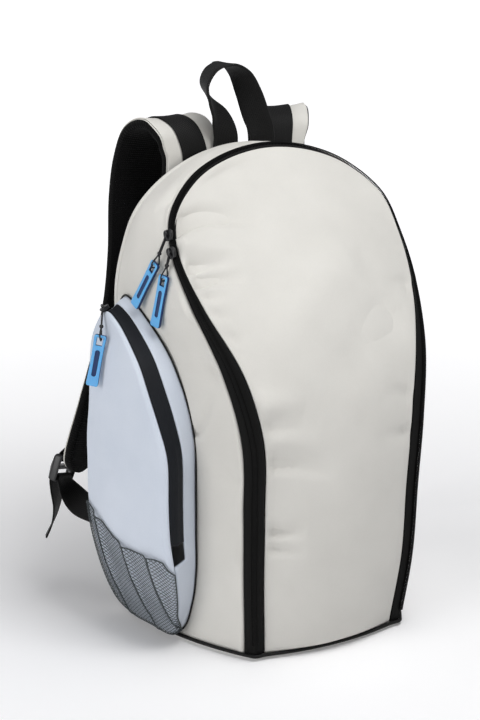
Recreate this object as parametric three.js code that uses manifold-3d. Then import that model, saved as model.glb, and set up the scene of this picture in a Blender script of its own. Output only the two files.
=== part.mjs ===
// A cooler backpack, zipped shut and standing on its base: an insulated body with a domed front
// door, two box pockets with net pouches, padded shoulder straps and a grab handle.
// Millimetres, +Z up. The front faces -Y and the wearer's back is at +Y. The origin is on the
// underside of the base panel, on the middle line of the bag.
import * as THREE from "three";
import Module from "manifold-3d";

const wasm = await Module();
wasm.setup();

// Driving dimensions of the body
const BODY_WIDTH = 260;
const BODY_HEIGHT = 436;
const BODY_DEPTH = 168;
const BACK_SEAM_Y = 75;
const WALL = 5;
const BASE_THICKNESS = 4;
const BACK_THICKNESS = 7;
const CLEARANCE = 0.35;

// The way up a side from its foot to the middle of the crown, as a share of the body's height
const SIDE_LENGTH_SHARE = 1.47;

// The main zip, which runs along the edge of the door
const ZIP_TAPE_WIDTH = 19;
const ZIP_TAPE_THICKNESS = 2;
const ZIP_COIL_WIDTH = 5;
const ZIP_COIL_HEIGHT = 2;
const ZIP_COIL_FOOT_UP = 0.015;

// The front door
const DOOR_BOW = 20;
const DOOR_FOOT_BOW = 9;
const DOOR_EDGE_INSET = 9;

// The piping round the base and round each pocket. SHARPEST_MITRE keeps a corner from running out.
const BASE_PIPING_RADIUS = 1.6;
const POCKET_PIPING_RADIUS = 0.8;
const SHARPEST_MITRE = 0.5;

// Each side pocket, a box of cloth on the side of the body
const POCKET_DEPTH = 33;
const POCKET_WALL = 1.8;
const POCKET_SEAM_LIFT = 0.7;
const POCKET_CORNER = 9;
const POCKET_SIDE_LEAN = -0.06;
const POCKET_CREST_LEAN = 0.9;
const POCKET_ZIP_START = 15;
const POCKET_ZIP_WIDTH = 15;
const NET_THICKNESS = 1;
const NET_SLACK = 1.6;
const NET_START = 5;
const NET_SEAM_DROP = 9;

// Straps and handle
const STRAP_WIDTH = 60;
const STRAP_PAD_THICKNESS = 9;
const STRAP_CHAMFER = 3;
const CHAMFER_SHARES = [0.3, 0.7];
const STRAP_FACE_THICKNESS = 1.4;
const STRAP_FACE_MARGIN = 2.5;
const WEBBING_THICKNESS = 1.6;
const STRAP_WEBBING_WIDTH = 25;
const TAIL_LENGTH = 60;
const HANDLE_WIDTH = 25;
const HANDLE_THICKNESS = 2.6;

// The ladder-lock buckles
const BUCKLE_BAR = 4;
const BUCKLE_SLOT = 7;
const BUCKLE_CHEEK = 4;
const BUCKLE_PLAY = 1.5;
const BUCKLE_CORNER = 3;
const BUCKLE_TAPER = 1.5;
const BUCKLE_DROP = -12;
const LOOP_OVERLAP = 10;
const LOOP_STATIONS = 3;

// The moulded zip pulls and the sliders that they hang from
const PULL_LENGTH = 47;
const PULL_WIDTH = 11;
const PULL_WAIST = 9;
const PULL_THICKNESS = 3.6;
const PULL_CORNER = 2.5;
const PULL_EYE_LENGTH = 7;
const PULL_EYE_WIDTH = 5.4;
const PULL_TOP_BAR = 2.6;
const CORD_THICKNESS = 1.4;
const CORD_JOIN = 7;
const CORD_SLACK = 1.5;
const SLIDER_LENGTH = 10;
const SLIDER_WIDTH = 9;
const SLIDER_HEIGHT = 4.5;
const HOOK_SHARE = 0.4;

// Sections up one side of the body, from the floor to the crown: the back seam and the middle of
// the zip's tape. Halves are shares of half the body's width, reaches of its depth and rises of its
// height.
const SIDE_SECTIONS = [
  { backHalf: 0.954, backRise: 0, zipHalf: 0.585, zipReach: 0.923, zipRise: 0 },
  { backHalf: 0.992, backRise: 0.16, zipHalf: 0.63, zipReach: 0.97, zipRise: 0.16 },
  { backHalf: 1, backRise: 0.321, zipHalf: 0.642, zipReach: 0.988, zipRise: 0.317 },
  { backHalf: 1, backRise: 0.47, zipHalf: 0.662, zipReach: 1, zipRise: 0.468 },
  { backHalf: 1, backRise: 0.608, zipHalf: 0.746, zipReach: 0.905, zipRise: 0.606 },
  { backHalf: 1, backRise: 0.716, zipHalf: 0.846, zipReach: 0.685, zipRise: 0.725 },
  { backHalf: 0.938, backRise: 0.803, zipHalf: 0.873, zipReach: 0.494, zipRise: 0.814 },
  { backHalf: 0.831, backRise: 0.876, zipHalf: 0.815, zipReach: 0.375, zipRise: 0.888 },
  { backHalf: 0.615, backRise: 0.936, zipHalf: 0.6, zipReach: 0.28, zipRise: 0.95 },
  { backHalf: 0.323, backRise: 0.977, zipHalf: 0.323, zipReach: 0.232, zipRise: 0.986 },
  { backHalf: 0, backRise: 0.991, zipHalf: 0, zipReach: 0.22, zipRise: 1 },
];

// At the same sections: how far the side bulges as a share of the body's depth, the width of the zip
// as a share of its full width, and how far, in degrees, its front half is folded round to the front.
const SIDE_FORM = [
  { bulge: 0.083, tape: 1, turn: 58 },
  { bulge: 0.083, tape: 1, turn: 58 },
  { bulge: 0.083, tape: 1.05, turn: 58 },
  { bulge: 0.083, tape: 1.08, turn: 55 },
  { bulge: 0.071, tape: 1.04, turn: 45 },
  { bulge: 0.054, tape: 0.64, turn: 20 },
  { bulge: 0.042, tape: 0.46, turn: 0 },
  { bulge: 0.03, tape: 0.44, turn: 0 },
  { bulge: 0.018, tape: 0.54, turn: 0 },
  { bulge: 0.012, tape: 0.64, turn: 0 },
  { bulge: 0.012, tape: 0.66, turn: 0 },
];

// The seam of the pocket on the left side of the body: forward is the share of the way from the back
// seam to the main zip, and up is the share of the way from the floor to the crown.
const POCKET_SEAM = [
  { forward: 0.55, up: 0.014 },
  { forward: 0.635, up: 0.06 },
  { forward: 0.668, up: 0.11 },
  { forward: 0.668, up: 0.16 },
  { forward: 0.668, up: 0.23 },
  { forward: 0.665, up: 0.3 },
  { forward: 0.632, up: 0.368 },
  { forward: 0.55, up: 0.43 },
  { forward: 0.39, up: 0.475 },
  { forward: 0.19, up: 0.491 },
  { forward: 0.06, up: 0.457 },
  { forward: 0.035, up: 0.4 },
  { forward: 0.035, up: 0.25 },
  { forward: 0.035, up: 0.11 },
  { forward: 0.05, up: 0.03 },
  { forward: 0.2, up: 0.014 },
  { forward: 0.38, up: 0.014 },
];

// How deep the pocket is at a height, as a share of its full depth.
const POCKET_DEPTHS = [
  { up: 0, share: 0.3 },
  { up: 0.08, share: 0.78 },
  { up: 0.16, share: 1.1 },
  { up: 0.24, share: 1.13 },
  { up: 0.32, share: 1.08 },
  { up: 0.4, share: 0.94 },
  { up: 0.48, share: 0.62 },
];

// Where the head and the foot of the pocket's pull lie, over the middle of the pocket's face. Facing
// is the level direction, in degrees from the X axis, that its flat side looks in.
const POCKET_PULL = { headForward: 0.275, headUp: 0.438, footForward: 0.225, footUp: 0.373, facing: 235 };
const POCKET_PULL_CLEARANCE = 4.4;
const POCKET_SLIDER_LIFT = 1.7;
const POCKET_SLIDER_ACROSS = 0.95;
const POCKET_CENTRE = { forward: 0.34, up: 0.235 };
const POCKET_ZIP_LOWEST_UP = 0.125;
const POCKET_ZIP_CREST_FORWARD = 0.1;

// How far up the net's top edge is at the back seam and at the main zip, and how far it sags between
// them. Between the shares of NET_TURN its sewn edge turns from the pocket's seam to the corner below
// the pocket's zip.
const NET_TOP = { backUp: 0.1826, frontUp: 0.1746, sag: 0.05 };
const NET_TURN = { from: 0.54, to: 0.63 };

// The middle line of the left shoulder strap, from the back panel over the crest and down. Across is
// a share of half the body's width, behind a share of its depth, from the back panel's face, up a
// share of its height and half a share of half the strap's width. Yaw is how far, in degrees, its
// width turns from the X axis.
const STRAP_STATIONS = [
  { across: -0.346, behind: 0.0717, up: 0.8532, half: 0.9, yaw: 0 },
  { across: -0.346, behind: 0.0717, up: 0.922, half: 0.95, yaw: 0 },
  { across: -0.346, behind: 0.0717, up: 0.977, half: 0.967, yaw: 0 },
  { across: -0.385, behind: 0.111, up: 1.0138, half: 1, yaw: 0 },
  { across: -0.446, behind: 0.2, up: 1.0252, half: 1, yaw: 0 },
  { across: -0.508, behind: 0.2836, up: 1.0046, half: 1, yaw: 0 },
  { across: -0.546, behind: 0.3313, up: 0.952, half: 1, yaw: 0 },
  { across: -0.577, behind: 0.349, up: 0.8716, half: 1, yaw: 0 },
  { across: -0.6, behind: 0.343, up: 0.7454, half: 1, yaw: 0 },
  { across: -0.662, behind: 0.331, up: 0.6307, half: 1, yaw: 3 },
  { across: -0.792, behind: 0.3134, up: 0.523, half: 0.967, yaw: 9 },
  { across: -0.931, behind: 0.3074, up: 0.431, half: 0.9, yaw: 17 },
  { across: -1.0385, behind: 0.31, up: 0.3624, half: 0.85, yaw: 25 },
  { across: -1.092, behind: 0.315, up: 0.321, half: 0.8, yaw: 28 },
  { across: -1.146, behind: 0.32, up: 0.28, half: 0.6, yaw: 30 },
];

// The route of the lower webbing from the back panel to the buckle, in the same shares, and of its
// free tail from the buckle, in shares of the tail's length. Turn is the way that the webbing's width
// runs, in degrees: 0 is along X, and 90 up.
const LOWER_ROUTE = [
  { across: -0.8, behind: 0.0116, up: 0.1697, turn: 78 },
  { across: -0.9, behind: 0.0134, up: 0.1812, turn: 78 },
  { across: -1, behind: 0.0515, up: 0.1927, turn: 74 },
  { across: -1.085, behind: 0.1527, up: 0.2064, turn: 60 },
  { across: -1.146, behind: 0.2658, up: 0.2133, turn: 32 },
];
const TAIL_ROUTE = [
  { down: 0.167, out: 0.033, aside: 0, yaw: 36 },
  { down: 0.467, out: 0.05, aside: 0, yaw: 48 },
  { down: 0.733, out: 0.05, aside: -0.067, yaw: 56 },
  { down: 1, out: 0.033, aside: -0.217, yaw: 60 },
];

// The middle line of the grab handle, in the same shares as the strap. Turn is the webbing's turn
// about its own length: at 0 it faces the front, and at 90 its edge does.
const HANDLE_STATIONS = [
  { across: -0.131, behind: 0.011, up: 0.913, turn: 0 },
  { across: -0.115, behind: 0.011, up: 0.9725, turn: 0 },
  { across: -0.108, behind: 0.0134, up: 1.0046, turn: 2 },
  { across: -0.146, behind: 0.0217, up: 1.0436, turn: 22 },
  { across: -0.215, behind: 0.0336, up: 1.078, turn: 58 },
  { across: -0.254, behind: 0.0396, up: 1.1124, turn: 78 },
  { across: -0.2, behind: 0.0396, up: 1.142, turn: 84 },
  { across: -0.085, behind: 0.0396, up: 1.1514, turn: 78 },
  { across: 0.015, behind: 0.0336, up: 1.1307, turn: 60 },
  { across: 0.085, behind: 0.0277, up: 1.0894, turn: 42 },
  { across: 0.1385, behind: 0.0217, up: 1.0436, turn: 22 },
  { across: 0.185, behind: 0.0134, up: 1.0046, turn: 3 },
  { across: 0.185, behind: 0.011, up: 0.9725, turn: 0 },
  { across: 0.169, behind: 0.011, up: 0.913, turn: 0 },
];

// The two pulls of the main zip, on the left side of the body: how far up the slider is, where the
// head and the foot of its pull lie, and the level direction that its flat side looks in.
const MAIN_PULLS = [
  { name: "a", slider: 0.61, headForward: 0.84, headUp: 0.557, footForward: 0.55, footUp: 0.45, facing: 196 },
  { name: "b", slider: 0.65, headForward: 0.77, headUp: 0.58, footForward: 0.53, footUp: 0.52, facing: 186 },
];

// How finely the surfaces are cut. TINY is the step that measures a direction along a surface, and
// corners that agree in every coordinate to SAME_POINT are one corner.
const TINY = 1e-3;
const SAME_POINT = 1e-3;
const DOOR_ROWS = 18;
const DOOR_COLUMNS = 14;
const DOOR_CORNER = 0.7;
const SIDE_SPANS = 5;
const FOOT_SPANS = 8;
const BASE_PIPING_SIDES = 6;
const POCKET_PIPING_SIDES = 4;
const POCKET_SEAM_SPANS = 40;
const STRAP_SPANS = 24;
const LOOP_SPANS = 16;
const LOWER_WEBBING_SPANS = 40;
const HANDLE_SPANS = 28;
const CORNER_SPANS = 4;

const MATERIALS = {
  beigeCloth: new THREE.MeshStandardMaterial({ color: 0xd8d5cd, roughness: 0.85 }),
  blueCloth: new THREE.MeshStandardMaterial({ color: 0xc3cddd, roughness: 0.85 }),
  net: new THREE.MeshStandardMaterial({ color: 0x8a9299, roughness: 0.9 }),
  webbing: new THREE.MeshStandardMaterial({ color: 0x17171a, roughness: 0.8 }),
  airMesh: new THREE.MeshStandardMaterial({ color: 0x0f0f11, roughness: 0.95 }),
  zipBlack: new THREE.MeshStandardMaterial({ color: 0x1a1a18, roughness: 0.7 }),
  pullBlue: new THREE.MeshStandardMaterial({ color: 0x4aa0e0, roughness: 0.5 }),
  plastic: new THREE.MeshStandardMaterial({ color: 0x202022, roughness: 0.45 }),
};

const bag = new THREE.Group();

function add(name, geometry, material) {
  const mesh = new THREE.Mesh(geometry, material);
  mesh.name = name;
  bag.add(mesh);
  return mesh;
}

// Solids

function cornerKey(point) {
  return point.toArray().map((c) => Math.round(c / SAME_POINT)).join();
}

// One closed solid through rings of points, where each ring is a closed section with an even count.
// The two halves of a ring are the two faces of a wall, and are cut along the same diagonals.
function loft(rings, closed = false) {
  const known = new Map();
  const positions = [];
  const index = [];
  const idOf = (point) => {
    const key = cornerKey(point);
    if (!known.has(key)) {
      known.set(key, positions.length / 3);
      positions.push(point.x, point.y, point.z);
    }
    return known.get(key);
  };
  const triangle = (a, b, c) => {
    if (a !== b && b !== c && c !== a) index.push(a, b, c);
  };
  const quad = (a, b, c, d, leaning) => {
    triangle(a, b, leaning ? d : c);
    triangle(leaning ? b : a, c, d);
  };
  const ids = rings.map((ring) => ring.map(idOf));
  const count = ids[0].length;
  const spans = closed ? ids.length : ids.length - 1;
  for (let i = 0; i < spans; i++) {
    const here = ids[i];
    const next = ids[(i + 1) % ids.length];
    for (let j = 0; j < count; j++) {
      const k = (j + 1) % count;
      quad(here[j], here[k], next[k], next[j], j >= count / 2);
    }
  }
  if (!closed) {
    const first = ids[0];
    const last = ids[ids.length - 1];
    for (let j = 0; j < count / 2 - 1; j++) {
      const k = count - 1 - j;
      quad(first[k], first[k - 1], first[j + 1], first[j]);
      quad(last[j], last[j + 1], last[k - 1], last[k]);
    }
  }
  if (signedVolume(positions, index) < 0) index.reverse();
  const geometry = new THREE.BufferGeometry();
  geometry.setAttribute("position", new THREE.Float32BufferAttribute(positions, 3));
  geometry.setIndex(index);
  geometry.computeVertexNormals();
  return geometry;
}

function signedVolume(positions, index) {
  const at = (i) => new THREE.Vector3().fromArray(positions, index[i] * 3);
  let sum = 0;
  for (let i = 0; i < index.length; i += 3) sum += at(i).dot(at(i + 1).cross(at(i + 2)));
  return sum / 6;
}

// Shares from 0 to 1 at the ends of a number of even spans.
function sharesOf(spans) {
  return Array.from({ length: spans + 1 }, (_, i) => i / spans);
}

// The ring of a thin wall: out along its outer points and back along its inner ones.
function wallRing(spans, outer, inner) {
  const steps = sharesOf(spans);
  return [...steps.map(outer), ...steps.reverse().map(inner)];
}

// The same solid on the other side, with each triangle turned round so that it still faces outwards.
function mirrored(geometry) {
  const plain = geometry.index ? geometry.toNonIndexed() : geometry;
  const corners = plain.getAttribute("position").array;
  const turned = new Float32Array(corners.length);
  for (let i = 0; i < corners.length; i += 9) {
    for (let corner = 0; corner < 3; corner++) {
      const from = i + corner * 3;
      const to = i + (2 - corner) * 3;
      turned[to] = -corners[from];
      turned[to + 1] = corners[from + 1];
      turned[to + 2] = corners[from + 2];
    }
  }
  const copy = new THREE.BufferGeometry();
  copy.setAttribute("position", new THREE.BufferAttribute(turned, 3));
  copy.computeVertexNormals();
  return copy;
}

function toManifold(geometry) {
  const flat = geometry.index ? geometry.toNonIndexed() : geometry;
  const corners = flat.getAttribute("position");
  const cornerAt = (_, i) => new THREE.Vector3().fromBufferAttribute(corners, i);
  const points = Array.from({ length: corners.count }, cornerAt);
  const known = new Map();
  const vertices = [];
  const triangles = points.map((point) => {
    const key = cornerKey(point);
    if (!known.has(key)) {
      known.set(key, vertices.length / 3);
      vertices.push(...point.toArray());
    }
    return known.get(key);
  });
  return new wasm.Manifold(
    new wasm.Mesh({
      numProp: 3,
      vertProperties: new Float32Array(vertices),
      triVerts: new Uint32Array(triangles),
    }),
  );
}

function fromManifold(solid) {
  const mesh = solid.getMesh();
  const geometry = new THREE.BufferGeometry();
  geometry.setAttribute("position", new THREE.BufferAttribute(mesh.vertProperties, 3));
  geometry.setIndex(new THREE.BufferAttribute(mesh.triVerts, 1));
  geometry.computeVertexNormals();
  return geometry;
}

function joined(...geometries) {
  const solids = geometries.map(toManifold);
  return fromManifold(solids.reduce((sum, solid) => sum.add(solid)));
}

// A smooth function of 0 to 1 through points that are evenly spaced in its argument.
function smoothThrough(points, closed = false) {
  const curve = new THREE.CatmullRomCurve3(points, closed, "catmullrom");
  return (share) => curve.getPoint(THREE.MathUtils.clamp(share, 0, 1));
}

// The side of the body

const BASE_TOP = BASE_THICKNESS + CLEARANCE;

// A point of a section on the left side, raised from the top of the base panel.
function sectionPoint(half, reach, rise) {
  return new THREE.Vector3(
    (-half * BODY_WIDTH) / 2,
    BACK_SEAM_Y - reach * BODY_DEPTH,
    BASE_TOP + rise * (BODY_HEIGHT - BASE_TOP),
  );
}

// Left side, crown and right side as one row of points.
function overTheTop(points) {
  const right = points.slice(0, -1).reverse();
  return [...points, ...right.map((p) => new THREE.Vector3(-p.x, p.y, p.z))];
}

// A single column of the side's form as a smooth function of the same argument as the lines.
function columnOver(valueOf) {
  const rows = [...SIDE_FORM, ...SIDE_FORM.slice(0, -1).reverse()];
  const curve = smoothThrough(rows.map((row) => new THREE.Vector3(valueOf(row), 0, 0)));
  return (up) => curve(up / 2).x;
}

const backSeam = SIDE_SECTIONS.map((row) => sectionPoint(row.backHalf, 0, row.backRise));
const zipMiddle = SIDE_SECTIONS.map((row) => sectionPoint(row.zipHalf, row.zipReach, row.zipRise));
const backLine = smoothThrough(overTheTop(backSeam));
const zipLine = smoothThrough(overTheTop(zipMiddle));
const bulgeAt = columnOver((row) => row.bulge * BODY_DEPTH);
const tapeHalfAt = columnOver((row) => (row.tape * ZIP_TAPE_WIDTH) / 2);
const tapeTurnAt = columnOver((row) => THREE.MathUtils.degToRad(row.turn));

// up runs from 0 at the left foot to 1 at the crown and 2 at the right foot, and forward from 0 at
// the back seam to 1 at the zip line.
function sidePoint(up, forward) {
  const back = backLine(up / 2);
  const front = zipLine(up / 2);
  const along = backLine(up / 2 + TINY).sub(backLine(up / 2 - TINY));
  const out = new THREE.Vector3(0, -1, 0).cross(along).normalize();
  const bulge = bulgeAt(up) * 4 * forward * (1 - forward);
  return back.lerp(front, forward).addScaledVector(out, bulge);
}

function sideNormal(up, forward) {
  const alongUp = sidePoint(up + TINY, forward).sub(sidePoint(up - TINY, forward));
  const alongForward = sidePoint(up, forward + TINY).sub(sidePoint(up, forward - TINY));
  return alongForward.cross(alongUp).normalize();
}

// A place on the side, lifted off its surface, and no lower than the top of the base panel.
function sideAt(up, forward, lift) {
  const point = sidePoint(up, forward).addScaledVector(sideNormal(up, forward), lift);
  point.z = Math.max(point.z, BASE_TOP);
  return point;
}

// The share of the way forward that lies a distance short of the zip line.
function shortOfZip(up, distance) {
  return 1 - distance / backLine(up / 2).distanceTo(zipLine(up / 2));
}

// The same steps cut the side, the tape and the door's edge, so that their facets match.
const ARCH_STEPS = [
  ...sharesOf(DOOR_ROWS).slice(0, -1).map((share) => share * DOOR_CORNER),
  ...sharesOf(DOOR_COLUMNS).map((share) => DOOR_CORNER + share * 2 * (1 - DOOR_CORNER)),
  ...sharesOf(DOOR_ROWS).slice(1).map((share) => 2 - DOOR_CORNER + share * DOOR_CORNER),
];

// The coil stops short of the piping at the foot.
const COIL_STEPS = [ZIP_COIL_FOOT_UP, ...ARCH_STEPS.slice(1, -1), 2 - ZIP_COIL_FOOT_UP];

// A band of the side from one share forward to another, between two lifts off the surface.
function sideBand(from, to, spans, outerLift, innerLift, steps = ARCH_STEPS) {
  return loft(
    steps.map((up) => {
      const forward = (share) => THREE.MathUtils.lerp(from(up), to(up), share);
      return wallRing(
        spans,
        (share) => sideAt(up, forward(share), outerLift),
        (share) => sideAt(up, forward(share), innerLift),
      );
    }),
  );
}

function buildSidePanel() {
  return sideBand(() => 0, (up) => shortOfZip(up, tapeHalfAt(up) + CLEARANCE), SIDE_SPANS, 0, -WALL);
}

// A place on the zip's tape, lifted off it. across runs from -1 at the side panel, over the middle
// of the tape, to 1 at the door. The front half is folded round by the tape's turn.
function tapePoint(up, across, lift) {
  const reach = Math.abs(across) * tapeHalfAt(up);
  if (across < 0) return sideAt(up, shortOfZip(up, reach), lift);
  const turn = tapeTurnAt(up);
  const normal = sideNormal(up, 1);
  const onward = sidePoint(up, 1).sub(sidePoint(up, 1 - TINY)).normalize();
  const folded = onward.clone().multiplyScalar(Math.cos(turn)).addScaledVector(normal, -Math.sin(turn));
  const lean = across > 0 ? turn : turn / 2;
  const lifted = normal.clone().multiplyScalar(Math.cos(lean)).addScaledVector(onward, Math.sin(lean));
  const mitre = Math.cos(turn - lean);
  const point = sidePoint(up, 1).addScaledVector(folded, reach).addScaledVector(lifted, lift / mitre);
  point.z = Math.max(point.z, BASE_TOP);
  return point;
}

function tapeBand(from, to, outerLift, innerLift, steps) {
  return loft(
    steps.map((up) => {
      const places = [from(up), 0, to(up)];
      const outer = places.map((across) => tapePoint(up, across, outerLift));
      const inner = places.map((across) => tapePoint(up, across, innerLift));
      return [...outer, ...inner.reverse()];
    }),
  );
}

function buildZipTape() {
  const doorSide = (up) => 1 - CLEARANCE / tapeHalfAt(up);
  return tapeBand(() => -1, doorSide, 0, -ZIP_TAPE_THICKNESS, ARCH_STEPS);
}

function buildZipCoil() {
  const share = (up) => ZIP_COIL_WIDTH / 2 / tapeHalfAt(up);
  return tapeBand((up) => -share(up), share, CLEARANCE + ZIP_COIL_HEIGHT, CLEARANCE, COIL_STEPS);
}

// The edge of the door, along the front of the tape. It takes the same argument as the zip's line.
function doorLine(share) {
  return tapePoint(share * 2, 1, 0);
}

// The front door

function doorFoot(across) {
  const foot = doorLine(0).lerp(doorLine(1), across);
  foot.y -= DOOR_FOOT_BOW * 4 * across * (1 - across);
  return foot;
}

// A four-sided patch inside the zip line, bowed forward. across and up run from 0 to 1.
function doorPoint(across, up) {
  const left = doorLine((up * DOOR_CORNER) / 2);
  const right = doorLine(1 - (up * DOOR_CORNER) / 2);
  const head = doorLine(DOOR_CORNER / 2 + across * (1 - DOOR_CORNER));
  const headLeft = doorLine(DOOR_CORNER / 2);
  const headRight = doorLine(1 - DOOR_CORNER / 2);
  const footChord = doorLine(0).lerp(doorLine(1), across);
  const headChord = headLeft.lerp(headRight, across);
  const point = left.lerp(right, across);
  point.addScaledVector(doorFoot(across).sub(footChord), 1 - up);
  point.addScaledVector(head.sub(headChord), up);
  const bow = DOOR_BOW * 4 * across * (1 - across) * Math.sin(Math.PI * Math.sqrt(up));
  return point.add(new THREE.Vector3(0, -bow, bow * up * up));
}

function doorNormal(across, up) {
  const inside = (share) => THREE.MathUtils.clamp(share, TINY, 1 - TINY);
  const a = inside(across);
  const b = inside(up);
  const alongAcross = doorPoint(a + TINY, b).sub(doorPoint(a - TINY, b));
  const alongUp = doorPoint(a, b + TINY).sub(doorPoint(a, b - TINY));
  return alongAcross.cross(alongUp).normalize();
}

function buildDoor() {
  const inset = DOOR_EDGE_INSET / (BODY_WIDTH * SIDE_SECTIONS[0].zipHalf);
  const rings = [];
  for (let i = 0; i <= DOOR_ROWS; i++) {
    const up = i / DOOR_ROWS;
    rings.push(
      wallRing(
        DOOR_COLUMNS,
        (across) => doorPoint(across, up),
        (across) => {
          const a = THREE.MathUtils.lerp(inset, 1 - inset, across);
          const b = up * (1 - inset);
          const normal = doorNormal(a, b);
          const inner = doorPoint(a, b).addScaledVector(normal, -WALL);
          inner.z = Math.max(inner.z, BASE_TOP);
          return inner;
        },
      ),
    );
  }
  return loft(rings);
}

// Back and base panels

function buildBackPanel() {
  const seam = ARCH_STEPS.map((up) => backLine(up / 2));
  const outline = new THREE.Shape(seam.map((p) => new THREE.Vector2(p.x, p.z)));
  const plate = new THREE.ExtrudeGeometry(outline, { depth: BACK_THICKNESS, bevelEnabled: false });
  return plate.rotateX(Math.PI / 2).translate(0, BACK_SEAM_Y + CLEARANCE + BACK_THICKNESS, 0);
}

const BACK_FACE_Y = BACK_SEAM_Y + CLEARANCE + BACK_THICKNESS;

// The base panel's outline from the left back corner round the front, anticlockwise from above.
function footOutline() {
  const steps = sharesOf(FOOT_SPANS);
  const toZip = shortOfZip(0, tapeHalfAt(0));
  const left = [...steps.map((share) => sidePoint(0, share * toZip)), sidePoint(0, 1)];
  const backCorner = left[0].clone().setY(BACK_FACE_Y);
  const leftSide = [backCorner, ...left].map((p) => new THREE.Vector2(p.x, p.y));
  const front = steps.map(doorFoot).map((p) => new THREE.Vector2(p.x, p.y));
  const rightSide = leftSide.map((p) => new THREE.Vector2(-p.x, p.y)).reverse();
  return [...leftSide, ...front, ...rightSide];
}

function buildBasePanel() {
  const outline = new THREE.Shape(footOutline());
  return new THREE.ExtrudeGeometry(outline, { depth: BASE_THICKNESS, bevelEnabled: false });
}

// A closed outline moved outwards by a distance, mitred at its corners.
function grown(outline, distance) {
  return outline.map((point, i) => {
    const before = outline[(i + outline.length - 1) % outline.length];
    const after = outline[(i + 1) % outline.length];
    const inward = point.clone().sub(before).normalize();
    const onward = after.clone().sub(point).normalize();
    const normal = new THREE.Vector2(inward.y + onward.y, -inward.x - onward.x).normalize();
    const mitre = Math.max(SHARPEST_MITRE, normal.dot(new THREE.Vector2(onward.y, -onward.x)));
    return point.clone().addScaledVector(normal, distance / mitre);
  });
}

function roundSection(centre, sideways, upwards, radius, sides) {
  return Array.from({ length: sides }, (_, k) => {
    const angle = ((k + 0.5) / sides) * 2 * Math.PI;
    return centre
      .clone()
      .addScaledVector(sideways, radius * Math.cos(angle))
      .addScaledVector(upwards, radius * Math.sin(angle));
  });
}

function buildBasePiping() {
  const outline = footOutline();
  const middle = grown(outline, BASE_PIPING_RADIUS + CLEARANCE);
  const up = new THREE.Vector3(0, 0, 1);
  const rings = middle.map((point, i) => {
    const out = point.clone().sub(outline[i]).normalize();
    const centre = new THREE.Vector3(point.x, point.y, BASE_TOP);
    const sideways = new THREE.Vector3(out.x, out.y, 0);
    return roundSection(centre, sideways, up, BASE_PIPING_RADIUS, BASE_PIPING_SIDES);
  });
  return loft(rings, true);
}

// The side pocket

const SIDE_RISE = BODY_HEIGHT * SIDE_LENGTH_SHARE;

// A place on the side as plain coordinates: x runs forward and y up, both in millimetres.
function toFlat({ forward, up }) {
  return new THREE.Vector3(forward * BODY_DEPTH, up * SIDE_RISE, 0);
}

const pocketSeam = new THREE.CatmullRomCurve3(POCKET_SEAM.map(toFlat), true, "catmullrom");
const POCKET_SEAM_POINTS = pocketSeam.getSpacedPoints(POCKET_SEAM_SPANS).slice(0, -1);
const POCKET_MIDDLE = toFlat(POCKET_CENTRE);

const pocketDepthCurve = smoothThrough(POCKET_DEPTHS.map(({ share }) => new THREE.Vector3(share, 0, 0)));

function pocketDepthShare(flatUp) {
  const highest = POCKET_DEPTHS[POCKET_DEPTHS.length - 1].up;
  return pocketDepthCurve(flatUp / SIDE_RISE / highest).x;
}

// How far the wall leans inwards as it rises from the seam, which is most at the crest. Round the
// rest of the pocket it leans a little outwards.
function pocketLean(arm) {
  const upness = Math.max(0, arm.y / arm.length());
  return THREE.MathUtils.lerp(POCKET_SIDE_LEAN, POCKET_CREST_LEAN, upness ** 4);
}

// A point of the pocket's skin, grown by some millimetres. run is the way from the seam up the wall
// and round the corner, and inward is the share of the way from there to the middle of the face.
function pocketPoint(seamPoint, { run, inward = 0 }, growth = 0) {
  const share = pocketDepthShare(seamPoint.y);
  const corner = POCKET_CORNER * share;
  const wall = (POCKET_DEPTH - POCKET_CORNER) * share;
  const reached = run * share;
  const angle = reached > wall ? Math.min((reached - wall) / corner, Math.PI / 2) : 0;
  const arm = seamPoint.clone().sub(POCKET_MIDDLE);
  const inset = pocketLean(arm) * Math.min(reached, wall) + corner * (1 - Math.cos(angle));
  const length = arm.length() - inset + growth * Math.cos(angle);
  arm.setLength(length * (1 - inward));
  const flat = POCKET_MIDDLE.clone().add(arm);
  const rounding = POCKET_CORNER * (1 - Math.sin(angle));
  const height = angle > 0 ? (POCKET_DEPTH - rounding) * pocketDepthShare(flat.y) : reached;
  const lift = POCKET_SEAM_LIFT + height + growth * Math.sin(angle);
  return sideAt(flat.y / SIDE_RISE, flat.x / BODY_DEPTH, lift);
}

const POCKET_CORNER_END = POCKET_DEPTH - POCKET_CORNER + (POCKET_CORNER * Math.PI) / 2;
const POCKET_ZIP_END = POCKET_ZIP_START + POCKET_ZIP_WIDTH;

// The zip runs from its lowest place at the front to just past the crest of the pocket.
function besideZip(seamPoint) {
  const up = seamPoint.y / SIDE_RISE;
  return up > POCKET_ZIP_LOWEST_UP && seamPoint.x > POCKET_ZIP_CREST_FORWARD * BODY_DEPTH;
}

// A wall through stations of the pocket's profile, round its seam.
function pocketWall(seamPoints, stationsAt, outerGrowth, innerGrowth, closed) {
  return loft(
    seamPoints.map((seamPoint) => {
      const stations = stationsAt(seamPoint);
      const outer = stations.map((station) => pocketPoint(seamPoint, station, outerGrowth));
      const inner = stations.map((station) => pocketPoint(seamPoint, station, innerGrowth));
      return [...outer, ...inner.reverse()];
    }),
    closed,
  );
}

const FACE_SHARES = [0, 0.33, 0.66, 1];

function buildPocketPanel() {
  const stations = [
    { run: POCKET_ZIP_END },
    { run: (POCKET_ZIP_END + POCKET_CORNER_END) / 2 },
    ...FACE_SHARES.map((inward) => ({ run: POCKET_CORNER_END, inward })),
  ];
  return pocketWall(POCKET_SEAM_POINTS, () => stations, 0, -POCKET_WALL, true);
}

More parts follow.
